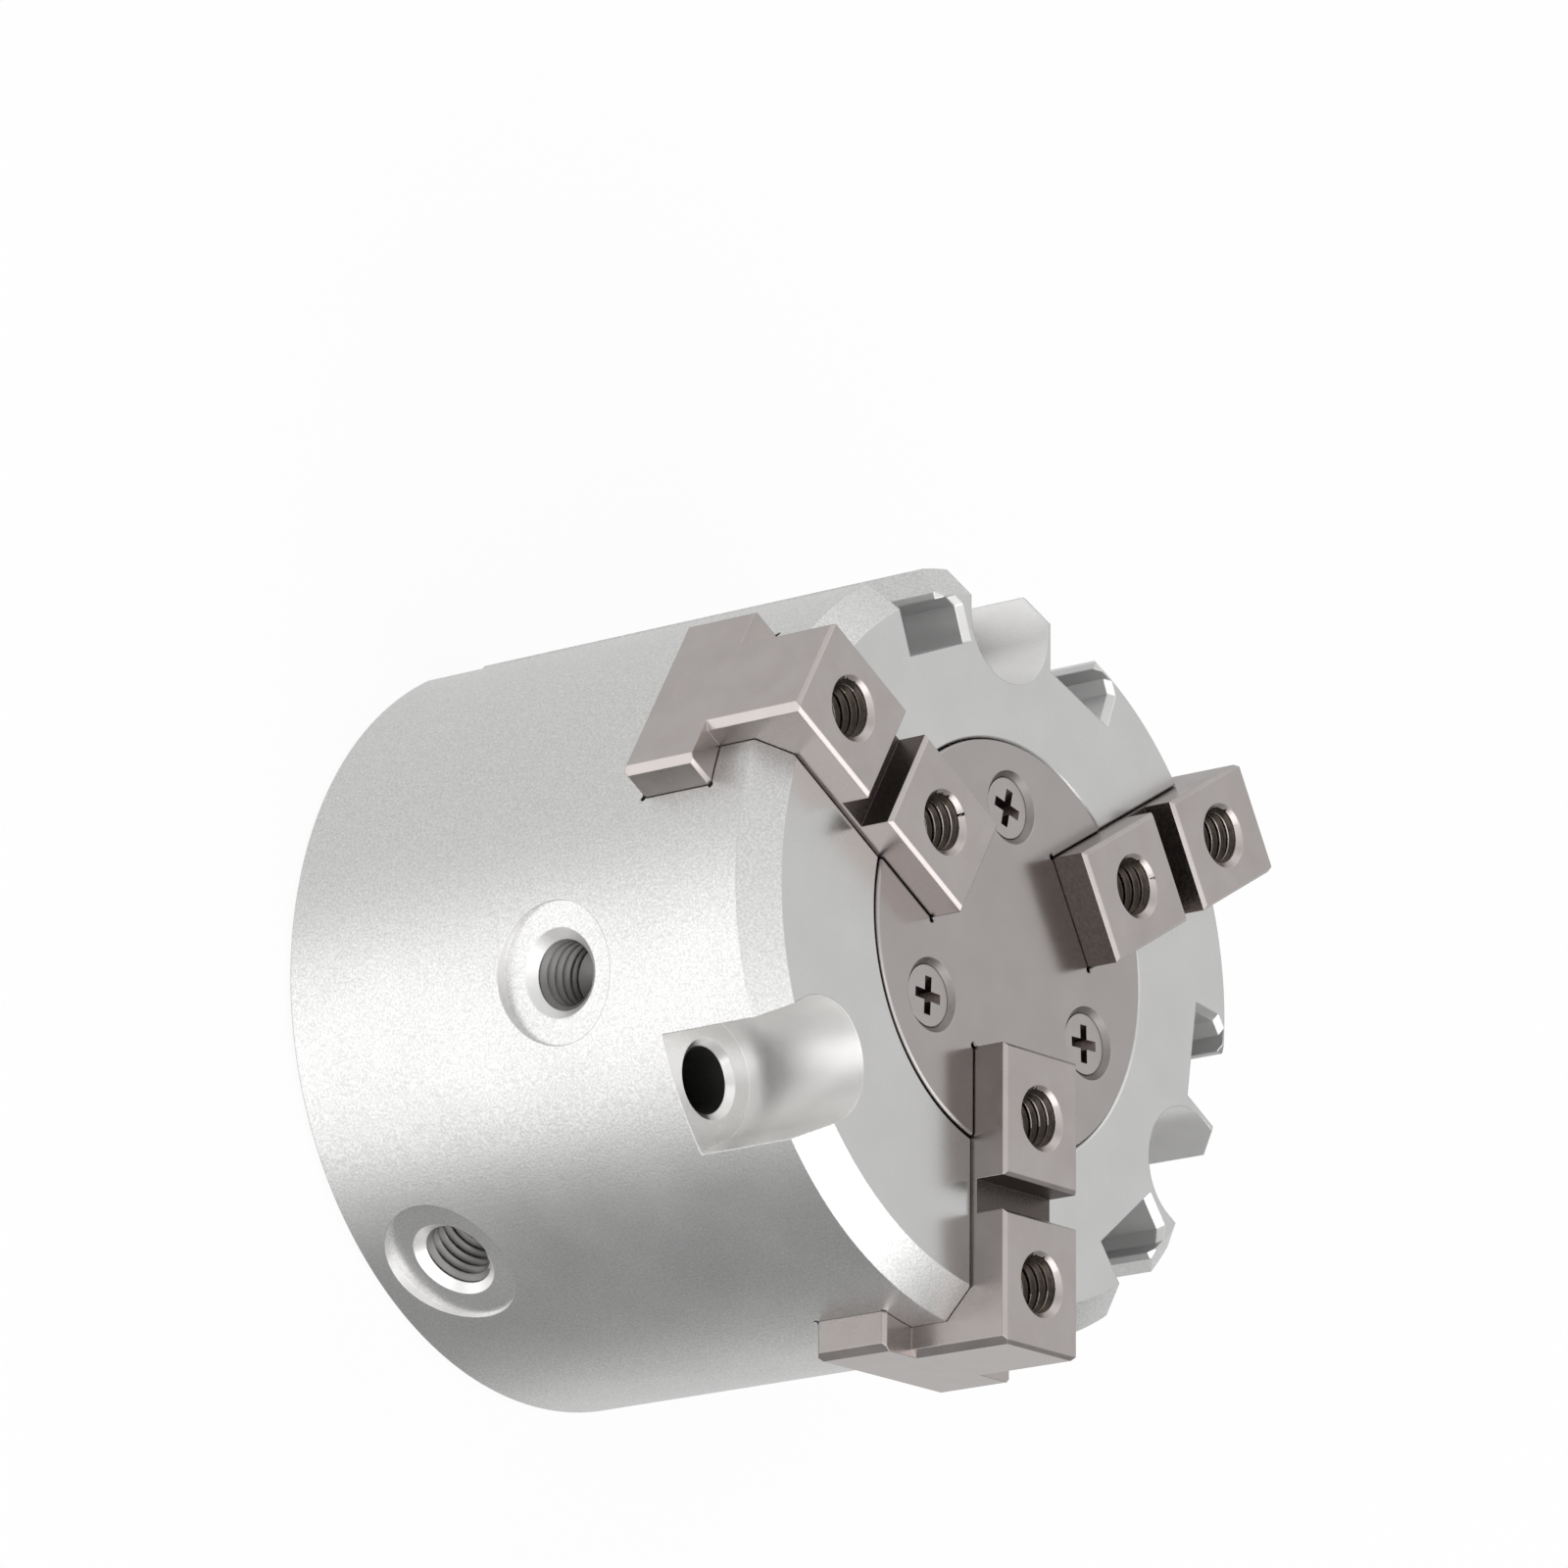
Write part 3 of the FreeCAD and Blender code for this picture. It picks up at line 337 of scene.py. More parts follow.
def body_blank():
    """The body as it comes off the lathe."""
    bore_end = FRONT_FACE - BORE_END_DEPTH
    cavity_floor = bore_end + PARTITION_THICKNESS
    channel_floor = tee_low.z - JAW_SLACK
    return turned("body_housing", [
        (BODY_RADIUS - REAR_CHAMFER, 0),
        (BODY_RADIUS, REAR_CHAMFER),
        (BODY_RADIUS, FRONT_FACE - FRONT_CHAMFER),
        (BODY_RADIUS - FRONT_CHAMFER, FRONT_FACE),
        (DISC_RECESS_RADIUS + EDGE_BREAK, FRONT_FACE),
        (DISC_RECESS_RADIUS, FRONT_FACE - EDGE_BREAK),
        (DISC_RECESS_RADIUS, disc_seat),
        (HUB_RADIUS, disc_seat),
        (HUB_RADIUS, channel_floor),
        (CAVITY_RADIUS, channel_floor),
        (CAVITY_RADIUS, cavity_floor),
        (ROD_HOLE, cavity_floor),
        (ROD_HOLE, bore_end + ROD_SEAL_DEPTH),
        (ROD_SEAL_RADIUS, bore_end + ROD_SEAL_DEPTH),
        (ROD_SEAL_RADIUS, bore_end),
        (BORE_RADIUS, bore_end),
        (BORE_RADIUS, CAP_SEAT_DEPTH),
        (CAP_SEAT_RADIUS, CAP_SEAT_DEPTH),
        (CAP_SEAT_RADIUS, RING_GROOVE[1]),
        (RING_GROOVE_RADIUS, RING_GROOVE[1]),
        (RING_GROOVE_RADIUS, RING_GROOVE[0]),
        (CAP_SEAT_RADIUS, RING_GROOVE[0]),
        (CAP_SEAT_RADIUS, 0),
    ])


def channel_tools(heading):
    """T channel of one jaw, with a relief cut in each inner corner."""
    narrow = JAW_WIDTH / 2 + JAW_SLACK
    wide = tee_high.x + JAW_SLACK
    low = tee_low.z - JAW_SLACK
    shoulder = tee_low.z + TEE_THICKNESS + JAW_SLACK
    half = [(wide, low), (wide, shoulder), (narrow, shoulder), (narrow, FRONT_FACE - EDGE_BREAK),
            (narrow + EDGE_BREAK + OVERCUT, FRONT_FACE + OVERCUT)]
    section = half + [(-across, height) for across, height in reversed(half)]
    lying = Matrix.Rotation(heading - math.pi / 2, 4, "Z") @ Matrix.Rotation(math.pi / 2, 4, "X")
    reach = -BODY_RADIUS - OVERCUT
    tools = [prism("channel", section, reach, 0, lying)]
    for side in (-1, 1):
        for height in (low + CORNER_RELIEF / 2, shoulder - CORNER_RELIEF / 2):
            relief = arc((side * tee_high.x, height), CORNER_RELIEF, 0, math.tau, steps=16)[:-1]
            tools.append(prism("relief", relief, reach, 0, lying))
    return tools


def bay_tools(heading):
    """Counterbore of a mounting bolt, open to the side, and its through hole."""
    turned_to = Matrix.Rotation(heading, 4, "Z")
    floor = FRONT_FACE - BAY_DEPTH
    bay = arc((bolt_circle, 0), BAY_RADIUS, math.pi / 2, math.pi * 3 / 2, steps=64)
    bay += [(BODY_RADIUS + OVERCUT, -BAY_RADIUS), (BODY_RADIUS + OVERCUT, BAY_RADIUS)]
    hole = turned_to @ Matrix.Translation((bolt_circle, 0, 0))
    return [
        prism("bay", bay, floor, FRONT_FACE + OVERCUT, turned_to),
        rod("bolt_hole", bolt_hole, -OVERCUT, FRONT_FACE, hole),
        countersink("bolt_chamfer", bolt_hole, bolt_hole + BOLT_CHAMFER, floor, hole)]


def groove_tool(heading):
    """Sensor groove the full height of the body, with a hooked lip on one side.

    The lip is on the side towards jaw_2, and the hooked side is chamfered at
    the front. The other wall is plain, and follows the bolt bay beside it.
    """
    hook = 1 if math.cos(heading) > 0 else -1
    floor = BODY_RADIUS - GROOVE_DEPTH
    lip = BODY_RADIUS - HOOK_THICKNESS
    outside = BODY_RADIUS + OVERCUT
    nose = GROOVE_HOOKED_SIDE - HOOK_REACH
    low = high = GROOVE_PLAIN_SIDE
    gap = min((math.remainder(bay - heading, math.tau) for bay in bay_headings), key=abs)
    if gap * hook < 0:
        web = (BAY_RADIUS + GROOVE_WEB) / math.cos(gap)
        low = floor * math.tan(abs(gap)) - web
        high = outside * math.tan(abs(gap)) - web

    def section(wider):
        """Outline of the groove, its hooked side cut back by so much."""
        hooked = [
            (floor, GROOVE_HOOKED_SIDE + wider),
            (lip - GROOVE_CORNER, GROOVE_HOOKED_SIDE + wider),
            (lip, GROOVE_HOOKED_SIDE - GROOVE_CORNER + wider),
            (lip, nose + wider),
            (lip + HOOK_NOSE, nose + wider),
            (outside, nose + outside - lip - HOOK_NOSE + wider / 3)]
        whole = hooked + [(outside, -high), (floor, -low)]
        return [(radius, hook * across) for radius, across in whole]

    return stacked("groove", [
        (section(0), -OVERCUT), (section(0), FRONT_FACE - HOOK_CHAMFER),
        (section(HOOK_CHAMFER + OVERCUT), FRONT_FACE + OVERCUT)],
        Matrix.Rotation(heading, 4, "Z"))


def port_tools(name):
    """Air port: spotface, chamfer, thread and the drilling to the bore."""
    mount = mounts[name]
    outward = Vector(mount["axis"])
    height = Vector((0, 0, mount["pos_m"][2]))
    place = looking(height + outward * (BODY_RADIUS - SPOTFACE_DEPTH), outward)
    core = mount["dims"]["r_mm"] * MM
    mouth = PORT_THREAD + PORT_CHAMFER
    return [
        rod("spotface", SPOTFACE_RADIUS, 0, SPOTFACE_DEPTH + OVERCUT, place, steps=128),
        countersink("port_chamfer", core, mouth, 0, place, steps=96),
        thread_tool("port_thread", PORT_THREAD, core, PORT_PITCH, PORT_DEPTH, place, steps=72),
        rod("port_drill", PORT_DRILL, BORE_RADIUS - BODY_RADIUS, -PORT_DEPTH / 2, place, steps=32)]


body = body_blank()
tools = []
for heading in jaw_headings.values():
    tools += channel_tools(heading)
for heading in bay_headings:
    tools += bay_tools(heading)
groove_headings = [
    math.atan2(mount["pos_m"][1], mount["pos_m"][0])
    for name, mount in mounts.items() if name.startswith("sensor_groove")]
for heading in groove_headings:
    tools.append(groove_tool(heading))
tools += port_tools("front_port") + port_tools("rear_port")
pin = mounts["locating_pin_hole"]
tools.append(rod("pin_hole", pin["dims"]["r_mm"] * MM, -OVERCUT, pin["dims"]["length_mm"] * MM,
                 Matrix.Translation((pin["pos_m"][0], pin["pos_m"][1], 0))))
carve(body, tools)


class Value:
    """A number that varies over a surface, as a socket of a node tree."""

    def __init__(self, finish, socket):
        self.finish = finish
        self.socket = socket

    def math(self, operation, one, two):
        """Reckons with two numbers, of which at least one varies."""
        return self.finish.node("ShaderNodeMath", {"operation": operation}, {0: one, 1: two})

    def __add__(self, other):
        return self.math("ADD", self, other)

    def __radd__(self, other):
        return self.math("ADD", other, self)

    def __sub__(self, other):
        return self.math("SUBTRACT", self, other)

    def __rsub__(self, other):
        return self.math("SUBTRACT", other, self)

    def __mul__(self, other):
        return self.math("MULTIPLY", self, other)


class Drawing:
    """The nodes of a material, of the studio's light or of a geometry tree."""

    def __init__(self, tree):
        self.tree = tree

    def fill(self, socket, value):
        """Gives a socket a plain value, or links a varying one to it."""
        if isinstance(value, list):
            for part in value:
                self.tree.links.new(part.socket, socket)
        elif isinstance(value, Value):
            self.tree.links.new(value.socket, socket)
        else:
            socket.default_value = value

    def node(self, kind, settings=None, sockets=None, output=0):
        """Adds a node: its settings come first, then its sockets."""
        made = self.tree.nodes.new(kind)
        for name, value in (settings or {}).items():
            setattr(made, name, value)
        for name, value in (sockets or {}).items():
            self.fill(made.inputs[name], value)
        return Value(self, made.outputs[output])

    def spread(self, value, low, high, at_low, at_high, curve="LINEAR"):
        """Maps a number from one range to another, kept within it."""
        return self.node("ShaderNodeMapRange", {"clamp": True, "interpolation_type": curve}, {
            "Value": value, "From Min": low, "From Max": high,
            "To Min": at_low, "To Max": at_high})


BEVEL_SAMPLES = 6
NOISE_RANGE = (0.3, 0.7)


class Finish(Drawing):
    """A material drawn around one Principled shader."""

    def __init__(self, name, metallic):
        self.material = bpy.data.materials.new(name)
        self.material.use_nodes = True
        super().__init__(self.material.node_tree)
        self.shader = self.tree.nodes["Principled BSDF"]
        self.shader.inputs["Metallic"].default_value = metallic

    def place(self):
        """The point of the surface, in the object's own coordinates."""
        return self.node("ShaderNodeTexCoord", output="Object")

    def noise(self, size, detail=2.0, stretch=None):
        """Cloudy pattern whose blots are about the given size."""
        place = self.place()
        if stretch is not None:
            place = self.node("ShaderNodeMapping", {"vector_type": "POINT"},
                              {"Vector": place, "Scale": stretch})
        return self.node("ShaderNodeTexNoise", None, {
            "Vector": place, "Scale": 1 / size, "Detail": detail})

    def ranged(self, pattern, low, high):
        """A number from low, where a noise is dark, to high, where it is light."""
        return self.spread(pattern, *NOISE_RANGE, low, high)

    def blend(self, amount, one, two):
        """Mixes two colours."""
        return self.node("ShaderNodeMix", {"data_type": "RGBA"}, {
            0: amount, 6: one + (1,), 7: two + (1,)}, output=2)

    def bump(self, height, depth, soft_edge=None):
        """Normal of a bumpy surface, with worn edges where a radius is given."""
        sockets = {"Height": height, "Distance": depth}
        if soft_edge is not None:
            sockets["Normal"] = self.node(
                "ShaderNodeBevel", {"samples": BEVEL_SAMPLES}, {"Radius": soft_edge})
        return self.node("ShaderNodeBump", None, sockets)

    def set(self, **sockets):
        """Fills the shader's own sockets: base_color is Base Color."""
        for name, value in sockets.items():
            self.fill(self.shader.inputs[name.replace("_", " ").title()], value)
        return self.material


def blasted_aluminium():
    """Satin grain of bead blasting under clear anodising."""
    finish = Finish("blasted_aluminium", 1.0)
    grain = finish.noise(0.16 * MM, 3.0)
    cloud = finish.noise(6 * MM, 2.0)
    sparkle = finish.spread(grain, 0.35, 0.68, 0.0, 1.0)
    return finish.set(
        base_color=finish.blend(sparkle, (0.63, 0.628, 0.622), (0.81, 0.806, 0.80)),
        roughness=finish.ranged(cloud, 0.36, 0.42) - sparkle * 0.06,
        normal=finish.bump(grain, 0.012 * MM, 0.12 * MM))


def machined_aluminium():
    """Turned and milled faces, smoother than the blasted wall."""
    finish = Finish("machined_aluminium", 1.0)
    grain = finish.noise(0.12 * MM, 2.0)
    cloud = finish.noise(4 * MM, 2.0)
    return finish.set(
        base_color=finish.blend(cloud, (0.65, 0.645, 0.64), (0.73, 0.725, 0.72)),
        roughness=finish.ranged(cloud, 0.24, 0.30),
        normal=finish.bump(grain, 0.003 * MM, 0.15 * MM))


def slotted_aluminium():
    """Walls of the sensor grooves, dull from the side cutter."""
    finish = Finish("slotted_aluminium", 1.0)
    passes = finish.noise(0.5 * MM, 2.0, stretch=(1, 1, 0.02))
    cloud = finish.noise(5 * MM, 2.0)
    return finish.set(
        base_color=finish.blend(cloud, (0.64, 0.64, 0.64), (0.72, 0.72, 0.715)),
        roughness=finish.ranged(passes, 0.40, 0.50),
        normal=finish.bump(passes, 0.004 * MM, 0.15 * MM))


def bored_painted_shade():
    """Drilled and tapped holes, their dark base colour painted shade deep inside them, varied by cutting marks."""
    finish = Finish("bored_painted_shade", 1.0)
    marks = finish.noise(0.25 * MM, 2.0, stretch=(1, 1, 4))
    # The dark base colour is painted shade inside the holes.
    return finish.set(
        base_color=finish.blend(marks, (0.16, 0.155, 0.15), (0.30, 0.295, 0.285)),
        roughness=finish.ranged(marks, 0.38, 0.50),
        normal=finish.bump(marks, 0.006 * MM))


def blasted_painted_light():
    """Blasting in the bays and spotfaces, duller than on the wall, with a whiter colour that paints brighter light
    into these hollows.
    """
    finish = Finish("blasted_painted_light", 0.88)
    grain = finish.noise(0.16 * MM, 3.0)
    cloud = finish.noise(3 * MM, 2.0)
    # The whiter base colour is painted light in the bays and spotfaces.
    return finish.set(
        base_color=finish.blend(cloud, (0.80, 0.795, 0.785), (0.90, 0.895, 0.885)),
        roughness=finish.ranged(grain, 0.36, 0.44),
        normal=finish.bump(grain, 0.012 * MM, 0.12 * MM))


# Of these finishes, the fourth paints shade into holes and the fifth paints light into bays and spotfaces.
MACHINED, BLASTED, SLOTTED, BORE_PAINTED_SHADE, BLAST_PAINTED_LIGHT = range(5)
ON_CONE = 0.02 * MM
UPRIGHT = 0.01
BESIDE_GROOVE = 1.6 * GROOVE_PLAIN_SIDE
WALL_DEPTH = FRONT_CHAMFER * 1.02


def within(value, low, high):
    """Whether a number lies between two others, or on one of them."""
    return low - SAME_PLACE <= value <= high + SAME_PLACE


def port_finish(centre):
    """Finish of a face of either air port, or None away from them."""
    face = BODY_RADIUS - SPOTFACE_DEPTH
    for name in ("front_port", "rear_port"):
        axis = Vector(mounts[name]["axis"])
        place = centre - Vector((0, 0, mounts[name]["pos_m"][2]))
        depth = place.dot(axis)
        off = (place - axis * depth).length
        if off < PORT_THREAD + PORT_CHAMFER and within(depth, BORE_RADIUS, face - 2 * SAME_PLACE):
            on_chamfer = abs(off - (PORT_THREAD + PORT_CHAMFER) - (depth - face)) < ON_CONE
            past_thread = off > PORT_THREAD - PORT_CHAMFER / 3
            # Thread and drilling get painted shade; the outer ring of the chamfer gets painted light.
            return BLAST_PAINTED_LIGHT if on_chamfer and past_thread else BORE_PAINTED_SHADE
        if off < SPOTFACE_RADIUS + SAME_PLACE and depth > face - 2 * SAME_PLACE:
            return BLASTED if depth < face + 2 * SAME_PLACE else BLAST_PAINTED_LIGHT
    return None


def bay_finish(centre, normal):
    """Finish of a face of a bolt bay or its hole, or None away from them."""
    floor = FRONT_FACE - BAY_DEPTH
    for heading in bay_headings:
        place = Matrix.Rotation(-heading, 4, "Z") @ centre
        off = math.hypot(place.x - bolt_circle, place.y)
        in_hole = off < bolt_hole + SAME_PLACE and within(place.z, 2 * SAME_PLACE, floor)
        # Walls of the bolt hole take the painted shade.
        if in_hole and abs(normal.z) < 0.5:
            return BORE_PAINTED_SHADE
        in_line = place.x > bolt_circle - BAY_RADIUS - SAME_PLACE
        if in_line and abs(place.y) < BAY_RADIUS + SAME_PLACE:
            if within(place.z, floor, FRONT_FACE - 2 * SAME_PLACE):
                on_floor = abs(normal.z) > 0.9 and place.z < floor + SAME_PLACE
                # The floor keeps the machined finish; the walls take the painted light.
                return MACHINED if on_floor else BLAST_PAINTED_LIGHT
    return None


def groove_finish(centre, normal):
    """Finish of a face of a sensor groove, or None away from them."""
    floor = BODY_RADIUS - GROOVE_DEPTH
    nose = BODY_RADIUS - HOOK_THICKNESS + HOOK_NOSE
    for heading in groove_headings:
        turn_back = Matrix.Rotation(-heading, 4, "Z")
        place = turn_back @ centre
        outward = abs((turn_back @ normal).x)
        if place.x > floor - SAME_PLACE and abs(place.y) < BESIDE_GROOVE:
            return BLASTED if place.x > nose and within(outward, 0.5, 0.8) else SLOTTED
    return None


def finish_of(face):
    """Which finish a face of the body has, from where it lies."""
    centre = face.center
    radius = math.hypot(centre.x, centre.y)
    at_end = not within(centre.z, SAME_PLACE, FRONT_FACE - 2 * SAME_PLACE)
    if abs(face.normal.z) > 0.99 and at_end:
        return MACHINED
    if radius > BODY_RADIUS - WALL_DEPTH:
        outward = face.normal.xy.length > 0.5 and (
            face.normal.xy.normalized().dot(centre.xy.normalized()) > 0.99)
        beside_chamfers = within(centre.z, REAR_CHAMFER, FRONT_FACE - FRONT_CHAMFER)
        if outward and not (beside_chamfers and abs(face.normal.z) > UPRIGHT):
            return BLASTED
    for finish in (port_finish(centre), bay_finish(centre, face.normal)):
        if finish is not None:
            return finish
    if abs(face.normal.z) < UPRIGHT:
        finish = groove_finish(centre, face.normal)
        if finish is not None:
            return finish
    return MACHINED


for finish in (machined_aluminium(), blasted_aluminium(), slotted_aluminium(),
               bored_painted_shade(), blasted_painted_light()):
    body.data.materials.append(finish)
for face in body.data.polygons:
    face.material_index = finish_of(face)
smooth_between_edges(body)
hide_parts("body")
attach(body, "housing")


# Cover disc: a thin stainless disc let into the front face, slotted for the
# jaws and held by three countersunk screws.

DISC_BEVEL = 0.12 * MM
DISC_GAP = 0.12 * MM
JAW_INNER_END = 7.5 * MM
COVER_SCREW_CIRCLE = 9.7 * MM
COVER_SCREW_HEAD = 2.1 * MM
COVER_SCREW_SINK = 0.35 * MM
COVER_SCREW_THREAD = 1.25 * MM
COVER_SCREW_SLACK = 0.12 * MM
disc_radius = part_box("cover_disc")[1].x
disc_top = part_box("cover_disc")[1].z
disc = turned("cover_plate", [
    (0, disc_seat), (disc_radius, disc_seat), (disc_radius, disc_top - DISC_BEVEL),
    (disc_radius - DISC_BEVEL, disc_top), (0, disc_top)])
tools = []
for heading in jaw_headings.values():
    turned_to = Matrix.Rotation(heading, 4, "Z")
    half = JAW_WIDTH / 2 + DISC_GAP
    end = JAW_INNER_END - DISC_GAP / 2
    beyond = disc_radius + OVERCUT
    slot = [(end, -half), (beyond, -half), (beyond, half), (end, half)]
    tools.append(prism("slot", slot, disc_seat - OVERCUT, disc_top + OVERCUT, turned_to))
    for side in (-1, 1):
        relief = arc((end, side * half), CORNER_RELIEF, 0, math.tau, steps=24)[:-1]
        tools.append(prism(
            "relief", relief, disc_seat - OVERCUT, disc_top + OVERCUT, turned_to))
for heading in bay_headings:
    place = Matrix.Rotation(heading, 4, "Z") @ Matrix.Translation((COVER_SCREW_CIRCLE, 0, 0))
    hole = COVER_SCREW_THREAD + COVER_SCREW_SLACK
    head = COVER_SCREW_HEAD + COVER_SCREW_SINK + COVER_SCREW_SLACK / 2
    tools.append(rod("hole", hole, disc_seat - OVERCUT, disc_top, place))
    tools.append(countersink("countersink", hole, head, disc_top, place, steps=96))
carve(disc, tools)


def satin_stainless():
    """Fine even grain of a ground and tumbled stainless disc."""
    finish = Finish("satin_stainless", 1.0)
    grain = finish.noise(0.1 * MM, 2.0)
    cloud = finish.noise(3 * MM, 2.0)
    return finish.set(
        base_color=finish.blend(cloud, (0.43, 0.40, 0.39), (0.49, 0.46, 0.45)),
        roughness=finish.ranged(cloud, 0.19, 0.24),
        normal=finish.bump(grain, 0.002 * MM, 0.20 * MM))


def countersink_painted_shade():
    """Sides of the countersinks, duller with the cutter's rings, their darker colour painted shade in the gap
    round the screw heads.
    """
    finish = Finish("countersink_painted_shade", 1.0)
    rings = finish.noise(0.12 * MM, 2.0, stretch=(0.3, 0.3, 2))
    return finish.set(
        base_color=finish.blend(rings, (0.20, 0.18, 0.175), (0.32, 0.30, 0.29)),
        roughness=finish.ranged(rings, 0.35, 0.50),
        normal=finish.bump(rings, 0.004 * MM))


disc.data.materials.append(satin_stainless())
disc.data.materials.append(countersink_painted_shade())
# Countersink faces take the painted shade round the screw heads.
for face in disc.data.polygons:
    in_hole = min(
        math.dist(face.center.xy, (
            COVER_SCREW_CIRCLE * math.cos(heading), COVER_SCREW_CIRCLE * math.sin(heading)))
        for heading in bay_headings) < COVER_SCREW_HEAD + COVER_SCREW_SINK
    face.material_index = 1 if in_hole and face.center.z < disc_top - SAME_PLACE else 0
smooth_between_edges(disc)
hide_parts("cover_disc")
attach(disc, "housing")


# Cover screws: three countersunk stainless screws with cross recesses, driven
# through the disc into the body until their heads lie just below its face.

COVER_SCREW_LENGTH = 6.0 * MM
CROSS_REACH = 1.3 * MM
CROSS_ROOT = 0.53 * MM
CROSS_WIDTH = 0.66 * MM
CROSS_DEPTH = 1.06 * MM
SHANK_OVERLAP = 0.9
CROSS_HEADINGS = {"cover_screw_1": 57, "cover_screw_2": 62, "cover_screw_3": 47}


def bright_stainless():
    """Cold-headed stainless, bright with a faint tumbled grain."""
    finish = Finish("bright_stainless", 1.0)
    grain = finish.noise(0.12 * MM, 2.0)
    cloud = finish.noise(1.5 * MM, 2.0)
    return finish.set(
        base_color=finish.blend(cloud, (0.44, 0.41, 0.40), (0.52, 0.49, 0.48)),
        roughness=finish.ranged(cloud, 0.22, 0.30),
        normal=finish.bump(grain, 0.003 * MM, 0.10 * MM))


def recess_painted_shade():
    """Walls of the punched recess, their dark brownish base colour painted shade inside it."""
    finish = Finish("recess_painted_shade", 1.0)
    grain = finish.noise(0.25 * MM, 3.0)
    return finish.set(
        base_color=finish.blend(grain, (0.06, 0.045, 0.042), (0.20, 0.165, 0.155)),
        roughness=finish.ranged(grain, 0.30, 0.42),
        normal=finish.bump(grain, 0.006 * MM))


def screw_tree():
    """Countersunk screws with a cross recess, one at each point, top at the point."""
    tree = bpy.data.node_groups.new("countersunk_screws", "GeometryNodeTree")
    number = "NodeSocketFloat"
    kinds = {
        "Points": "NodeSocketGeometry", "Head Radius": number, "Shank Radius": number,
        "Length": number, "Cross Reach": number, "Cross Root": number, "Cross Width": number,
        "Cross Depth": number, "Finish": "NodeSocketMaterial"}
    for name, kind in kinds.items():
        tree.interface.new_socket(name=name, in_out="INPUT", socket_type=kind)
    tree.interface.new_socket(name="Screws", in_out="OUTPUT", socket_type="NodeSocketGeometry")
    drawing = Drawing(tree)
    given = tree.nodes.new("NodeGroupInput")
    size = {name: Value(drawing, given.outputs[name]) for name in kinds}

    def vector(x, y, z):
        return drawing.node("ShaderNodeCombineXYZ", None, {"X": x, "Y": y, "Z": z})

    def moved(shape, height, turn=0.0):
        """A shape lifted, and turned about Z."""
        return drawing.node("GeometryNodeTransform", None, {
            "Geometry": shape, "Translation": vector(0, 0, height), "Rotation": (0, 0, turn)})

    def position(axis):
        """One coordinate of a mesh's points: 0 is X and 2 is Z."""
        place = drawing.node("GeometryNodeInputPosition")
        return drawing.node("ShaderNodeSeparateXYZ", None, {"Vector": place}, output=axis)

    depth = size["Head Radius"] - size["Shank Radius"]
    head = drawing.node("GeometryNodeMeshCone", None, {
        "Vertices": 96, "Radius Top": size["Head Radius"],
        "Radius Bottom": size["Shank Radius"], "Depth": depth})
    shank = drawing.node("GeometryNodeMeshCylinder", None, {
        "Vertices": 48, "Radius": size["Shank Radius"],
        "Depth": size["Length"] - depth * SHANK_OVERLAP})
    middle = (size["Length"] + depth * SHANK_OVERLAP) * -0.5
    screw = drawing.node(
        "GeometryNodeMeshBoolean", {"operation": "UNION", "solver": "MANIFOLD"},
        {"Mesh 2": [moved(head, 0 - depth), moved(shank, middle)]})
    mouth = size["Cross Reach"] * 2 - size["Cross Root"]
    block = drawing.node("GeometryNodeMeshCube", None, {
        "Size": vector(mouth * 2, size["Cross Width"], size["Cross Depth"] * 2)})
    below = drawing.node("ShaderNodeMath", {"operation": "LESS_THAN"}, {0: position(2), 1: 0})
    side = drawing.node("ShaderNodeMath", {"operation": "SIGN"}, {0: position(0)})
    arm = drawing.node("GeometryNodeSetPosition", None, {
        "Geometry": block,
        "Offset": vector(side * below * (size["Cross Root"] - mouth), 0, 0)})
    for turn in (0, math.pi / 2):
        screw = drawing.node(
            "GeometryNodeMeshBoolean", {"operation": "DIFFERENCE", "solver": "MANIFOLD"},
            {"Mesh 1": screw, "Mesh 2": moved(arm, 0, turn)})
    turn = drawing.node(
        "GeometryNodeInputNamedAttribute", {"data_type": "FLOAT"}, {"Name": "turn"})
    placed = drawing.node("GeometryNodeInstanceOnPoints", None, {
        "Points": size["Points"], "Instance": screw, "Rotation": vector(0, 0, turn)})
    real = drawing.node("GeometryNodeRealizeInstances", None, {"Geometry": placed})
    finished = drawing.node("GeometryNodeSetMaterial", None, {
        "Geometry": real, "Material": size["Finish"]})
    drawing.fill(tree.nodes.new("NodeGroupOutput").inputs[0], finished)
    return tree


def grown(name, tree, points, turns, sizes):
    """Runs a tree on points and gives its result as one plain mesh."""
    places = bpy.data.meshes.new(f"{name}_places")
    places.from_pydata(points, [], [])
    places.attributes.new("turn", "FLOAT", "POINT").data.foreach_set("value", turns)
    piece = added(name, places)
    step = piece.modifiers.new(name, "NODES")
    step.node_group = tree
    for label, value in sizes.items():
        step[tree.interface.items_tree[label].identifier] = value
    settle(piece)
    return piece


stainless = bright_stainless()
places = []
for name in CROSS_HEADINGS:
    low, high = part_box(name)
    places.append(((low.x + high.x) / 2, (low.y + high.y) / 2, disc_top - COVER_SCREW_SINK))
screws = grown(
    "cover_screws", screw_tree(), places,
    [math.radians(heading) for heading in CROSS_HEADINGS.values()],
    {"Head Radius": COVER_SCREW_HEAD, "Shank Radius": COVER_SCREW_THREAD - COVER_SCREW_SLACK / 2,
     "Length": COVER_SCREW_LENGTH, "Cross Reach": CROSS_REACH, "Cross Root": CROSS_ROOT,
     "Cross Width": CROSS_WIDTH, "Cross Depth": CROSS_DEPTH, "Finish": stainless})
screws.data.materials.append(recess_painted_shade())
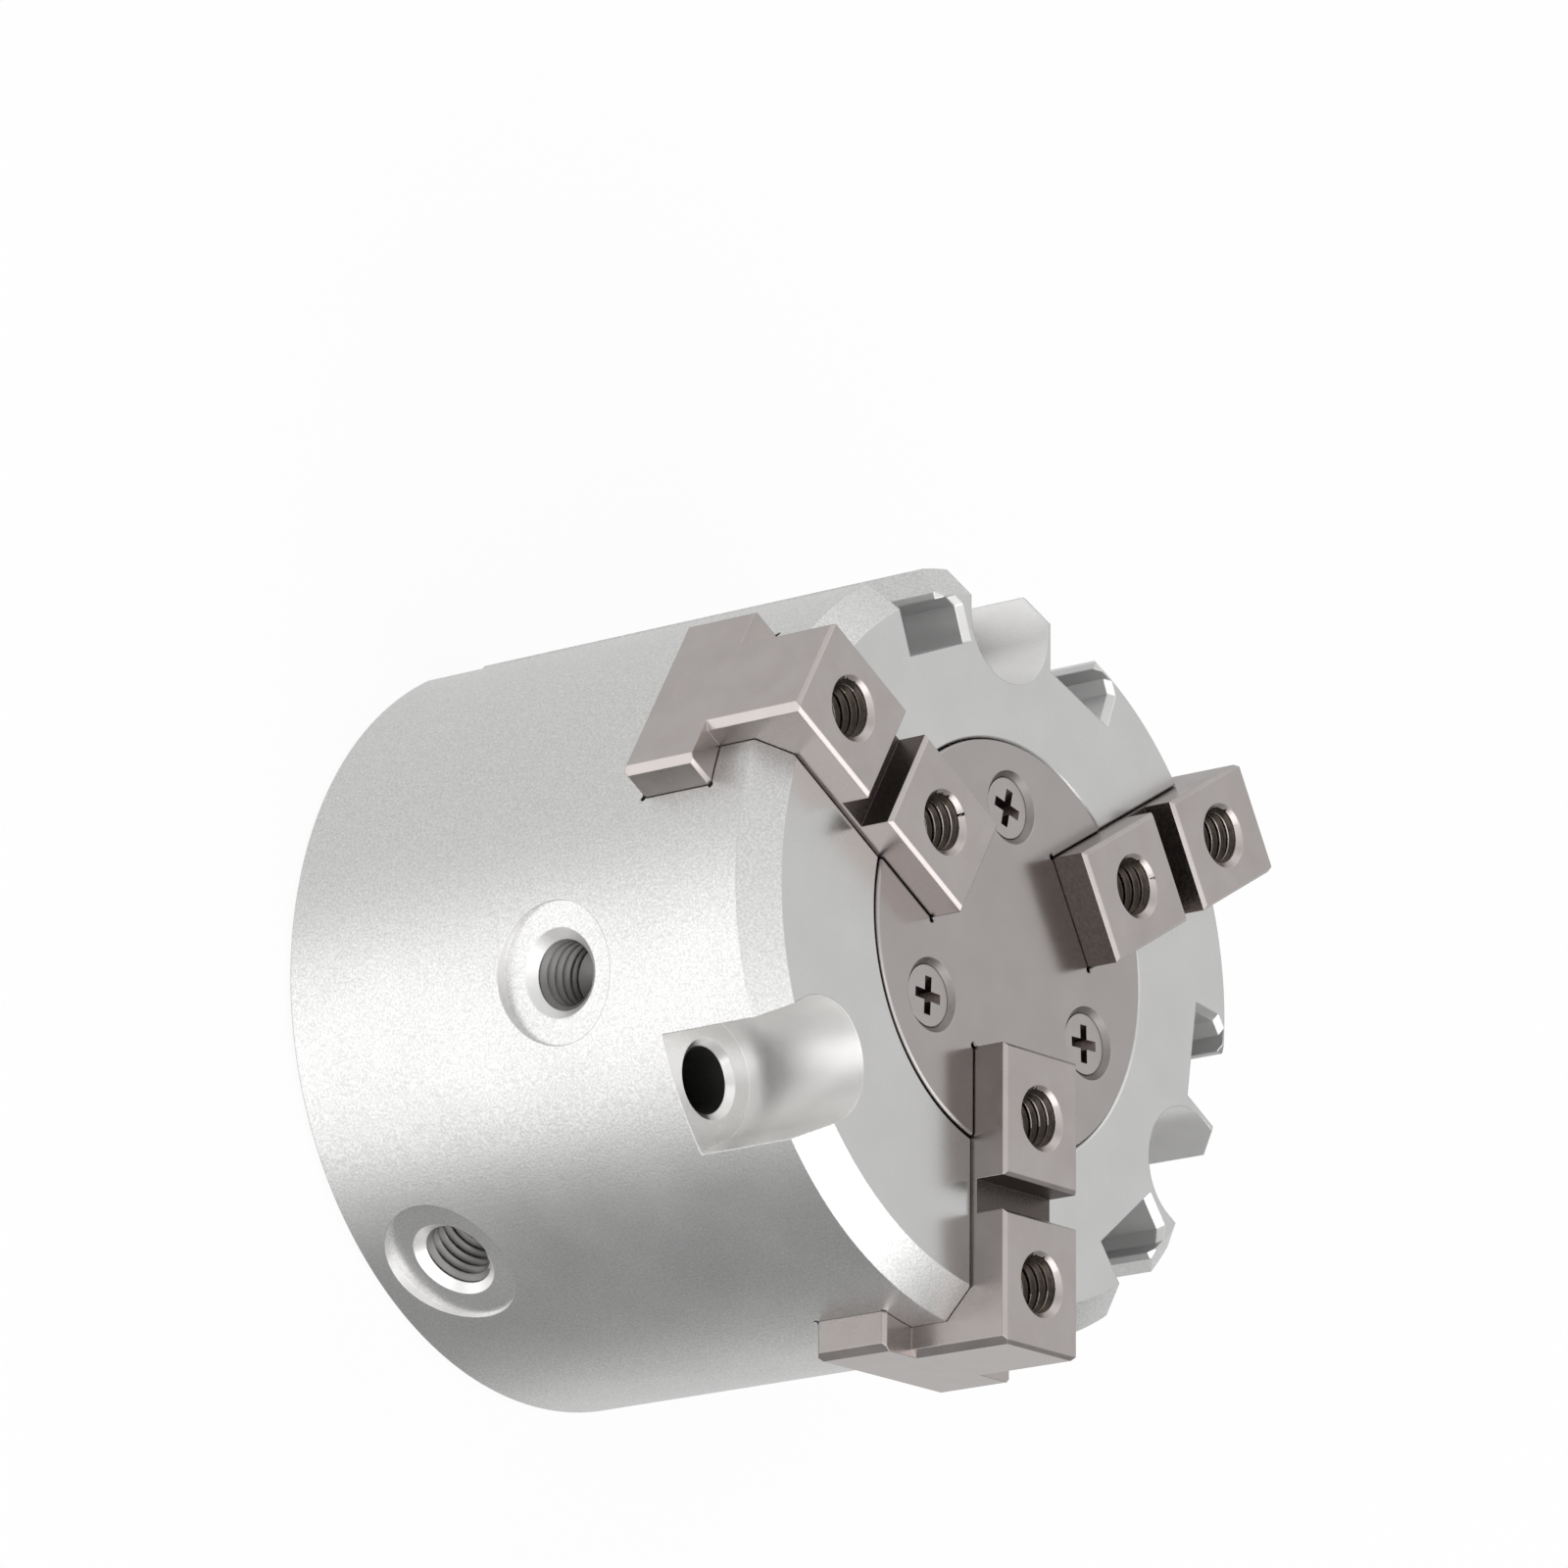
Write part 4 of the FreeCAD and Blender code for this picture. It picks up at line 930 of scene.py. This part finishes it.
# Faces inside the cross recesses take the painted shade.
for face in screws.data.polygons:
    off = min(math.dist(face.center.xy, place[:2]) for place in places)
    below = places[0][2] - face.center.z
    if off < CROSS_REACH and SAME_PLACE < below < CROSS_DEPTH * 1.01:
        face.material_index = len(screws.data.materials) - 1
smooth_between_edges(screws)
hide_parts(*CROSS_HEADINGS)
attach(screws, "housing")


# Jaws: ground steel T bars, nickel plated, each with two tapped holes and a
# keyway across the top. They run in the body's T channels.

JAW_THREAD = 2.0 * MM
JAW_PITCH = 0.7 * MM
JAW_BEVEL = 0.25 * MM
JAW_HOLE_DEPTH = 8.0 * MM
JAW_FLAT_AREA = 0.3 * MM * MM
JAW_FACET_ANGLE = math.radians(0.5)
CORE_CLEARANCE = 1.01


def nickel_plate():
    """Warm grey nickel over a ground surface, faintly mottled."""
    finish = Finish("nickel_plate", 1.0)
    grain = finish.noise(0.14 * MM, 3.0)
    cloud = finish.noise(2.5 * MM, 3.0)
    return finish.set(
        base_color=finish.blend(cloud, (0.44, 0.40, 0.39), (0.55, 0.51, 0.495)),
        roughness=finish.ranged(cloud, 0.24, 0.32),
        normal=finish.bump(grain, 0.004 * MM, 0.12 * MM))


def ground_steel():
    """Sides of the jaws, greyer than the plated top."""
    finish = Finish("ground_steel", 1.0)
    grain = finish.noise(0.14 * MM, 3.0)
    cloud = finish.noise(2.5 * MM, 3.0)
    return finish.set(
        base_color=finish.blend(cloud, (0.28, 0.255, 0.245), (0.38, 0.35, 0.34)),
        roughness=finish.ranged(cloud, 0.24, 0.34),
        normal=finish.bump(grain, 0.005 * MM, 0.12 * MM))


def milled_painted_shade():
    """Grainy cut of the keyways and of the jaws' inner ends, its dark base colour painted shade in the keyways and
    on the inner ends.
    """
    finish = Finish("milled_painted_shade", 1.0)
    grain = finish.noise(0.2 * MM, 3.0)
    return finish.set(
        base_color=finish.blend(grain, (0.06, 0.05, 0.046), (0.20, 0.17, 0.16)),
        roughness=finish.ranged(grain, 0.35, 0.50),
        normal=finish.bump(grain, 0.012 * MM, 0.10 * MM))


def tapped_painted_shade():
    """Thread flanks inside the tapped holes, their near-black brownish base colour painted shade."""
    finish = Finish("tapped_painted_shade", 1.0)
    marks = finish.noise(0.4 * MM, 3.0)
    return finish.set(
        base_color=finish.blend(marks, (0.015, 0.013, 0.011), (0.09, 0.075, 0.06)),
        roughness=finish.ranged(marks, 0.22, 0.36),
        normal=finish.bump(marks, 0.005 * MM))


PLATED, GROUND, MILLED, TAPPED = range(4)


def in_thread(centre, hole, core):
    """Whether a point lies on a thread's flanks, off its crest and chamfer."""
    crest = core + (JAW_THREAD - core) / 9
    off = math.hypot(centre.x - hole.x, centre.y - hole.y)
    on_chamfer = abs(off - (JAW_THREAD + JAW_BEVEL) - (centre.z - hole.z)) < ON_CONE
    return crest < off < JAW_THREAD * 1.02 and centre.z < hole.z - JAW_BEVEL and not on_chamfer


def jaw_finish(face, heading, holes, core):
    """Which finish a face of a jaw has, from where it lies and looks."""
    # Thread flanks take the painted shade.
    if any(in_thread(face.center, hole, core) for hole in holes):
        return TAPPED
    turn_back = Matrix.Rotation(-heading, 4, "Z")
    place = turn_back @ face.center
    facing = turn_back @ face.normal
    # Inner ends and keyways take the painted shade.
    if facing.x < -0.9 and place.x < JAW_INNER_END + SAME_PLACE:
        return MILLED
    if abs(facing.y) > 0.9:
        return GROUND
    in_keyway = holes[0].xy.length < place.x < holes[1].xy.length
    if in_keyway and within(place.z, FRONT_FACE, tee_high.z - JAW_THREAD / 4):
        return MILLED
    return PLATED


jaw_finishes = [nickel_plate(), ground_steel(), milled_painted_shade(), tapped_painted_shade()]
for name, heading in jaw_headings.items():
    mesh = bmesh.new()
    mesh.from_mesh(frame["nodes"][name].data)
    bmesh.ops.remove_doubles(mesh, verts=mesh.verts, dist=SAME_PLACE)
    bmesh.ops.dissolve_limit(
        mesh, angle_limit=JAW_FACET_ANGLE, verts=mesh.verts, edges=mesh.edges)
    jaw = solid(f"{name}_bar", mesh)
    holes = []
    tools = []
    for hole in ("inner", "outer"):
        mount = mounts[f"{name}_{hole}_thread"]
        mouth = Vector((mount["pos_m"][0], mount["pos_m"][1], tee_high.z))
        holes.append(mouth)
        place = Matrix.Translation(mouth)
        core = mount["dims"]["r_mm"] * MM * CORE_CLEARANCE
        tools.append(countersink("chamfer", core, JAW_THREAD + JAW_BEVEL, 0, place))
        tools.append(thread_tool(
            "thread", JAW_THREAD, core, JAW_PITCH, JAW_HOLE_DEPTH, place, steps=48, rows=10))
    carve(jaw, tools)
    for finish in jaw_finishes:
        jaw.data.materials.append(finish)
    for face in jaw.data.polygons:
        face.material_index = jaw_finish(face, heading, holes, core)
    smooth_between_edges(jaw, flat_from=JAW_FLAT_AREA)
    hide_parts(name)
    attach(jaw, name)


# Cam: hardened steel core with three leaning legs, slotted for the jaws' hooks.
# A low-head screw holds it on the rod, and only both their tops can be seen.

def hardened_steel():
    """Blue-grey ground steel with fine grinding lines."""
    finish = Finish("hardened_steel", 1.0)
    lines = finish.noise(0.2 * MM, 2.0, stretch=(1, 1, 0.05))
    cloud = finish.noise(3 * MM, 2.0)
    return finish.set(
        base_color=finish.blend(cloud, (0.36, 0.35, 0.34), (0.46, 0.45, 0.44)),
        roughness=finish.ranged(lines, 0.28, 0.38),
        normal=finish.bump(lines, 0.003 * MM, 0.1 * MM))


def dress(finish, *names):
    """Gives solids of the model their finish."""
    for name in names:
        frame["nodes"][name].material_slots[0].material = finish


dress(hardened_steel(), "cam")
dress(stainless, "cam_screw")


# Piston unit: chromed rod riveted into an anodised piston, with the seal on the
# bore, the magnet ring that the sensors read and a guide ring.

def hard_chrome():
    """Polished chrome with a trace of round grinding marks."""
    finish = Finish("hard_chrome", 1.0)
    marks = finish.noise(0.2 * MM, 2.0, stretch=(0.05, 0.05, 1))
    return finish.set(
        base_color=finish.blend(marks, (0.70, 0.70, 0.71), (0.77, 0.77, 0.78)),
        roughness=finish.ranged(marks, 0.08, 0.14),
        normal=finish.bump(marks, 0.001 * MM))


def lathed_aluminium():
    """Clear anodised turnings, with the lathe's fine rings round the axis."""
    finish = Finish("lathed_aluminium", 1.0)
    rings = finish.node(
        "ShaderNodeTexWave", {"wave_type": "RINGS", "rings_direction": "Z"},
        {"Vector": finish.place(), "Scale": 0.3 / (0.12 * MM), "Distortion": 0.4}, output="Fac")
    cloud = finish.noise(4 * MM, 2.0)
    return finish.set(
        base_color=finish.blend(cloud, (0.62, 0.62, 0.63), (0.72, 0.72, 0.73)),
        roughness=finish.spread(rings, 0, 1, 0.26, 0.34),
        normal=finish.bump(rings, 0.0015 * MM, 0.12 * MM))


def nitrile_rubber():
    """Black moulded rubber, a little greasy."""
    finish = Finish("nitrile_rubber", 0.0)
    grain = finish.noise(0.3 * MM, 3.0)
    return finish.set(
        base_color=finish.blend(grain, (0.018, 0.018, 0.018), (0.035, 0.034, 0.033)),
        roughness=finish.ranged(grain, 0.38, 0.55),
        normal=finish.bump(grain, 0.004 * MM))


def bonded_ferrite():
    """Dark plastic filled with magnet powder."""
    finish = Finish("bonded_ferrite", 0.0)
    specks = finish.noise(0.08 * MM, 2.0)
    return finish.set(
        base_color=finish.blend(specks, (0.05, 0.045, 0.045), (0.13, 0.12, 0.12)),
        roughness=finish.ranged(specks, 0.5, 0.7),
        normal=finish.bump(specks, 0.004 * MM))


def bearing_plastic():
    """Cream bearing plastic with short fibres along the ring."""
    finish = Finish("bearing_plastic", 0.0)
    fibres = finish.noise(0.15 * MM, 3.0, stretch=(0.3, 0.3, 2))
    return finish.set(
        base_color=finish.blend(fibres, (0.62, 0.58, 0.47), (0.76, 0.73, 0.63)),
        roughness=finish.ranged(fibres, 0.45, 0.6),
        normal=finish.bump(fibres, 0.003 * MM))


rubber = nitrile_rubber()
lathed = lathed_aluminium()
dress(hard_chrome(), "piston_rod")
dress(lathed, "piston")
dress(rubber, "rod_gasket", "piston_seal")
dress(bonded_ferrite(), "magnet_ring")
dress(bearing_plastic(), "wear_ring")


# Rod seal in the partition, kept in by a thin plate, with the soft bumpers that
# stop the piston at both ends.

def phosphated_steel():
    """Spring steel, dark and matt from its phosphate coat."""
    finish = Finish("phosphated_steel", 1.0)
    crystals = finish.noise(0.06 * MM, 3.0)
    return finish.set(
        base_color=finish.blend(crystals, (0.09, 0.085, 0.085), (0.18, 0.175, 0.17)),
        roughness=finish.ranged(crystals, 0.42, 0.58),
        normal=finish.bump(crystals, 0.004 * MM, 0.08 * MM))


def moulded_urethane():
    """Soft black bumper, smoother than the seals."""
    finish = Finish("moulded_urethane", 0.0)
    grain = finish.noise(0.6 * MM, 2.0)
    return finish.set(
        base_color=finish.blend(grain, (0.035, 0.035, 0.037), (0.06, 0.06, 0.062)),
        roughness=finish.ranged(grain, 0.30, 0.42),
        normal=finish.bump(grain, 0.003 * MM))


phosphated = phosphated_steel()
dress(rubber, "rod_seal")
dress(phosphated, "seal_retainer")
dress(moulded_urethane(), "front_bumper", "rear_bumper")


# Rear closure: a turned cap with its O-ring shuts the bore, and a sprung ring
# with two pierced ears holds it in.

CAP_OUTER = 16.97 * MM
CAP_EDGE = 0.2 * MM
CAP_GROOVE_FLOOR = 15.59 * MM
CAP_GROOVE = (2.875 * MM, 4.575 * MM)
BUMPER_SEAT_RADIUS = 8.05 * MM
BUMPER_SEAT = 4.6 * MM
RING_OUTER = 18.05 * MM
RING_INNER = 15.75 * MM
RING_EDGE = 0.1 * MM
RING_GAP = 9.0 * MM
EAR_RADIUS = 2.0 * MM
EAR_HOLE = 0.8 * MM
EAR_PLACE = 15.0 * MM
cap_rear, cap_front = (corner.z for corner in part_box("end_cap"))
cap = turned("end_plate", [
    (0, cap_rear), (CAP_OUTER - CAP_EDGE, cap_rear), (CAP_OUTER, cap_rear + CAP_EDGE),
    (CAP_OUTER, CAP_GROOVE[0]), (CAP_GROOVE_FLOOR, CAP_GROOVE[0]),
    (CAP_GROOVE_FLOOR, CAP_GROOVE[1]), (CAP_OUTER, CAP_GROOVE[1]), (CAP_OUTER, cap_front),
    (BUMPER_SEAT_RADIUS, cap_front), (BUMPER_SEAT_RADIUS, BUMPER_SEAT), (0, BUMPER_SEAT)])
smooth_between_edges(cap)
cap.data.materials.append(lathed)
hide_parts("end_cap")
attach(cap, "housing")

ring_low, ring_high = (corner.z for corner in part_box("retaining_ring"))
ring = turned("snap_ring", [
    (RING_INNER, ring_low), (RING_OUTER - RING_EDGE, ring_low),
    (RING_OUTER, ring_low + RING_EDGE), (RING_OUTER, ring_high), (RING_INNER, ring_high)])
half_gap = RING_GAP / 2
gap = [(-half_gap, 0), (half_gap, 0), (half_gap, RING_OUTER + OVERCUT),
       (-half_gap, RING_OUTER + OVERCUT)]
carve(ring, [prism("ring_gap", gap, ring_low - OVERCUT, ring_high + OVERCUT)])
ears = [Matrix.Translation((side * half_gap, EAR_PLACE, 0)) for side in (-1, 1)]
carve(ring, [rod("ear", EAR_RADIUS, ring_low, ring_high, place) for place in ears], "UNION")
carve(ring, [
    rod("ear_hole", EAR_HOLE, ring_low - OVERCUT, ring_high + OVERCUT, place, steps=32)
    for place in ears])
smooth_between_edges(ring)
ring.data.materials.append(phosphated)
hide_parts("retaining_ring")
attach(ring, "housing")
dress(rubber, "cap_seal")


# Studio: soft light all round with broad brighter and darker patches, one soft
# lamp and a pale floor. Metal looks past the floor into the same light.

FLOOR_SIZE = 6.0
FLOOR_LEVEL = -0.0002
FLOOR_WHITE = 0.92
SOFT_LIGHT = 0.75
GLOWS = [
    # azimuth, elevation, core and edge in degrees, strength
    (-106, -39, 13, 38, 0.75),
    (-27, -39, 8, 48, -0.47),
    (-100, 60, 15, 45, 0.25),
    (20, 12, 6, 34, -0.42),
    (-86, 20, 10, 36, 1.0),
    (140, 42, 8, 32, 0.5),
]


def studio_light():
    """Even light with a few broad soft glows, white where the camera sees it.

    A glow fades from its core to its edge, both angles from its middle. One
    of negative strength is a darker patch.
    """
    world = bpy.data.worlds.new("studio")
    world.use_nodes = True
    light = Drawing(world.node_tree)
    way = light.node("ShaderNodeTexCoord", output="Generated")

    def glow(azimuth, elevation, core, edge, strength):
        """How much one glow adds to the light from a direction."""
        middle = direction(math.radians(azimuth), math.radians(elevation))
        facing = light.node("ShaderNodeVectorMath", {"operation": "DOT_PRODUCT"},
                            {0: way, 1: middle}, output="Value")
        return light.spread(
            facing, math.cos(math.radians(edge)), math.cos(math.radians(core)), 0, strength,
            curve="SMOOTHSTEP")

    level = SOFT_LIGHT
    for patch in GLOWS:
        level = level + glow(*patch)
    in_view = light.node("ShaderNodeLightPath", output="Is Camera Ray")
    level = level * (1 - in_view) + in_view
    light.fill(world.node_tree.nodes["Background"].inputs["Color"], level)
    bpy.context.scene.world = world


def floor_paper():
    """White to the camera, and clear to metal, so that it shows the studio."""
    finish = Finish("floor_paper", 0.0)
    finish.set(base_color=(0.9, 0.9, 0.9, 1), roughness=0.9)
    path = "ShaderNodeLightPath"
    in_view = finish.node(path, output="Is Camera Ray")
    in_metal = finish.node(path, output="Is Glossy Ray") + finish.node(
        path, output="Is Transmission Ray")
    white = finish.node("ShaderNodeEmission", None, {"Color": (1, 1, 1, 1), "Strength": 1})
    clear = finish.node("ShaderNodeBsdfTransparent")
    paper = Value(finish, finish.shader.outputs[0])
    seen = finish.node("ShaderNodeMixShader", None, {0: in_view * FLOOR_WHITE, 1: paper, 2: white})
    mirrored = finish.node("ShaderNodeMixShader", None, {0: in_metal, 1: seen, 2: clear})
    finish.fill(finish.tree.nodes["Material Output"].inputs["Surface"], mirrored)
    return finish.material


mesh = bmesh.new()
bmesh.ops.create_grid(mesh, x_segments=1, y_segments=1, size=FLOOR_SIZE / 2)
floor = solid("floor", mesh)
floor.data.transform(Matrix.Translation((0, 0, FLOOR_LEVEL)))
floor.data.materials.append(floor_paper())
floor.visible_shadow = False


def lamp(name, azimuth, elevation, distance, size, power):
    """A square soft lamp aimed at the middle of the body."""
    data = bpy.data.lights.new(name, "AREA")
    data.size = size
    data.energy = power
    piece = added(name, data)
    way = direction(math.radians(azimuth), math.radians(elevation))
    middle = Vector((0, 0, FRONT_FACE / 2))
    piece.matrix_world = looking(middle + way * distance, way)


lamp("lamp_high", azimuth=-32, elevation=40, distance=0.7, size=0.45, power=1.0)
studio_light()
bpy.context.scene.view_settings.view_transform = "Standard"
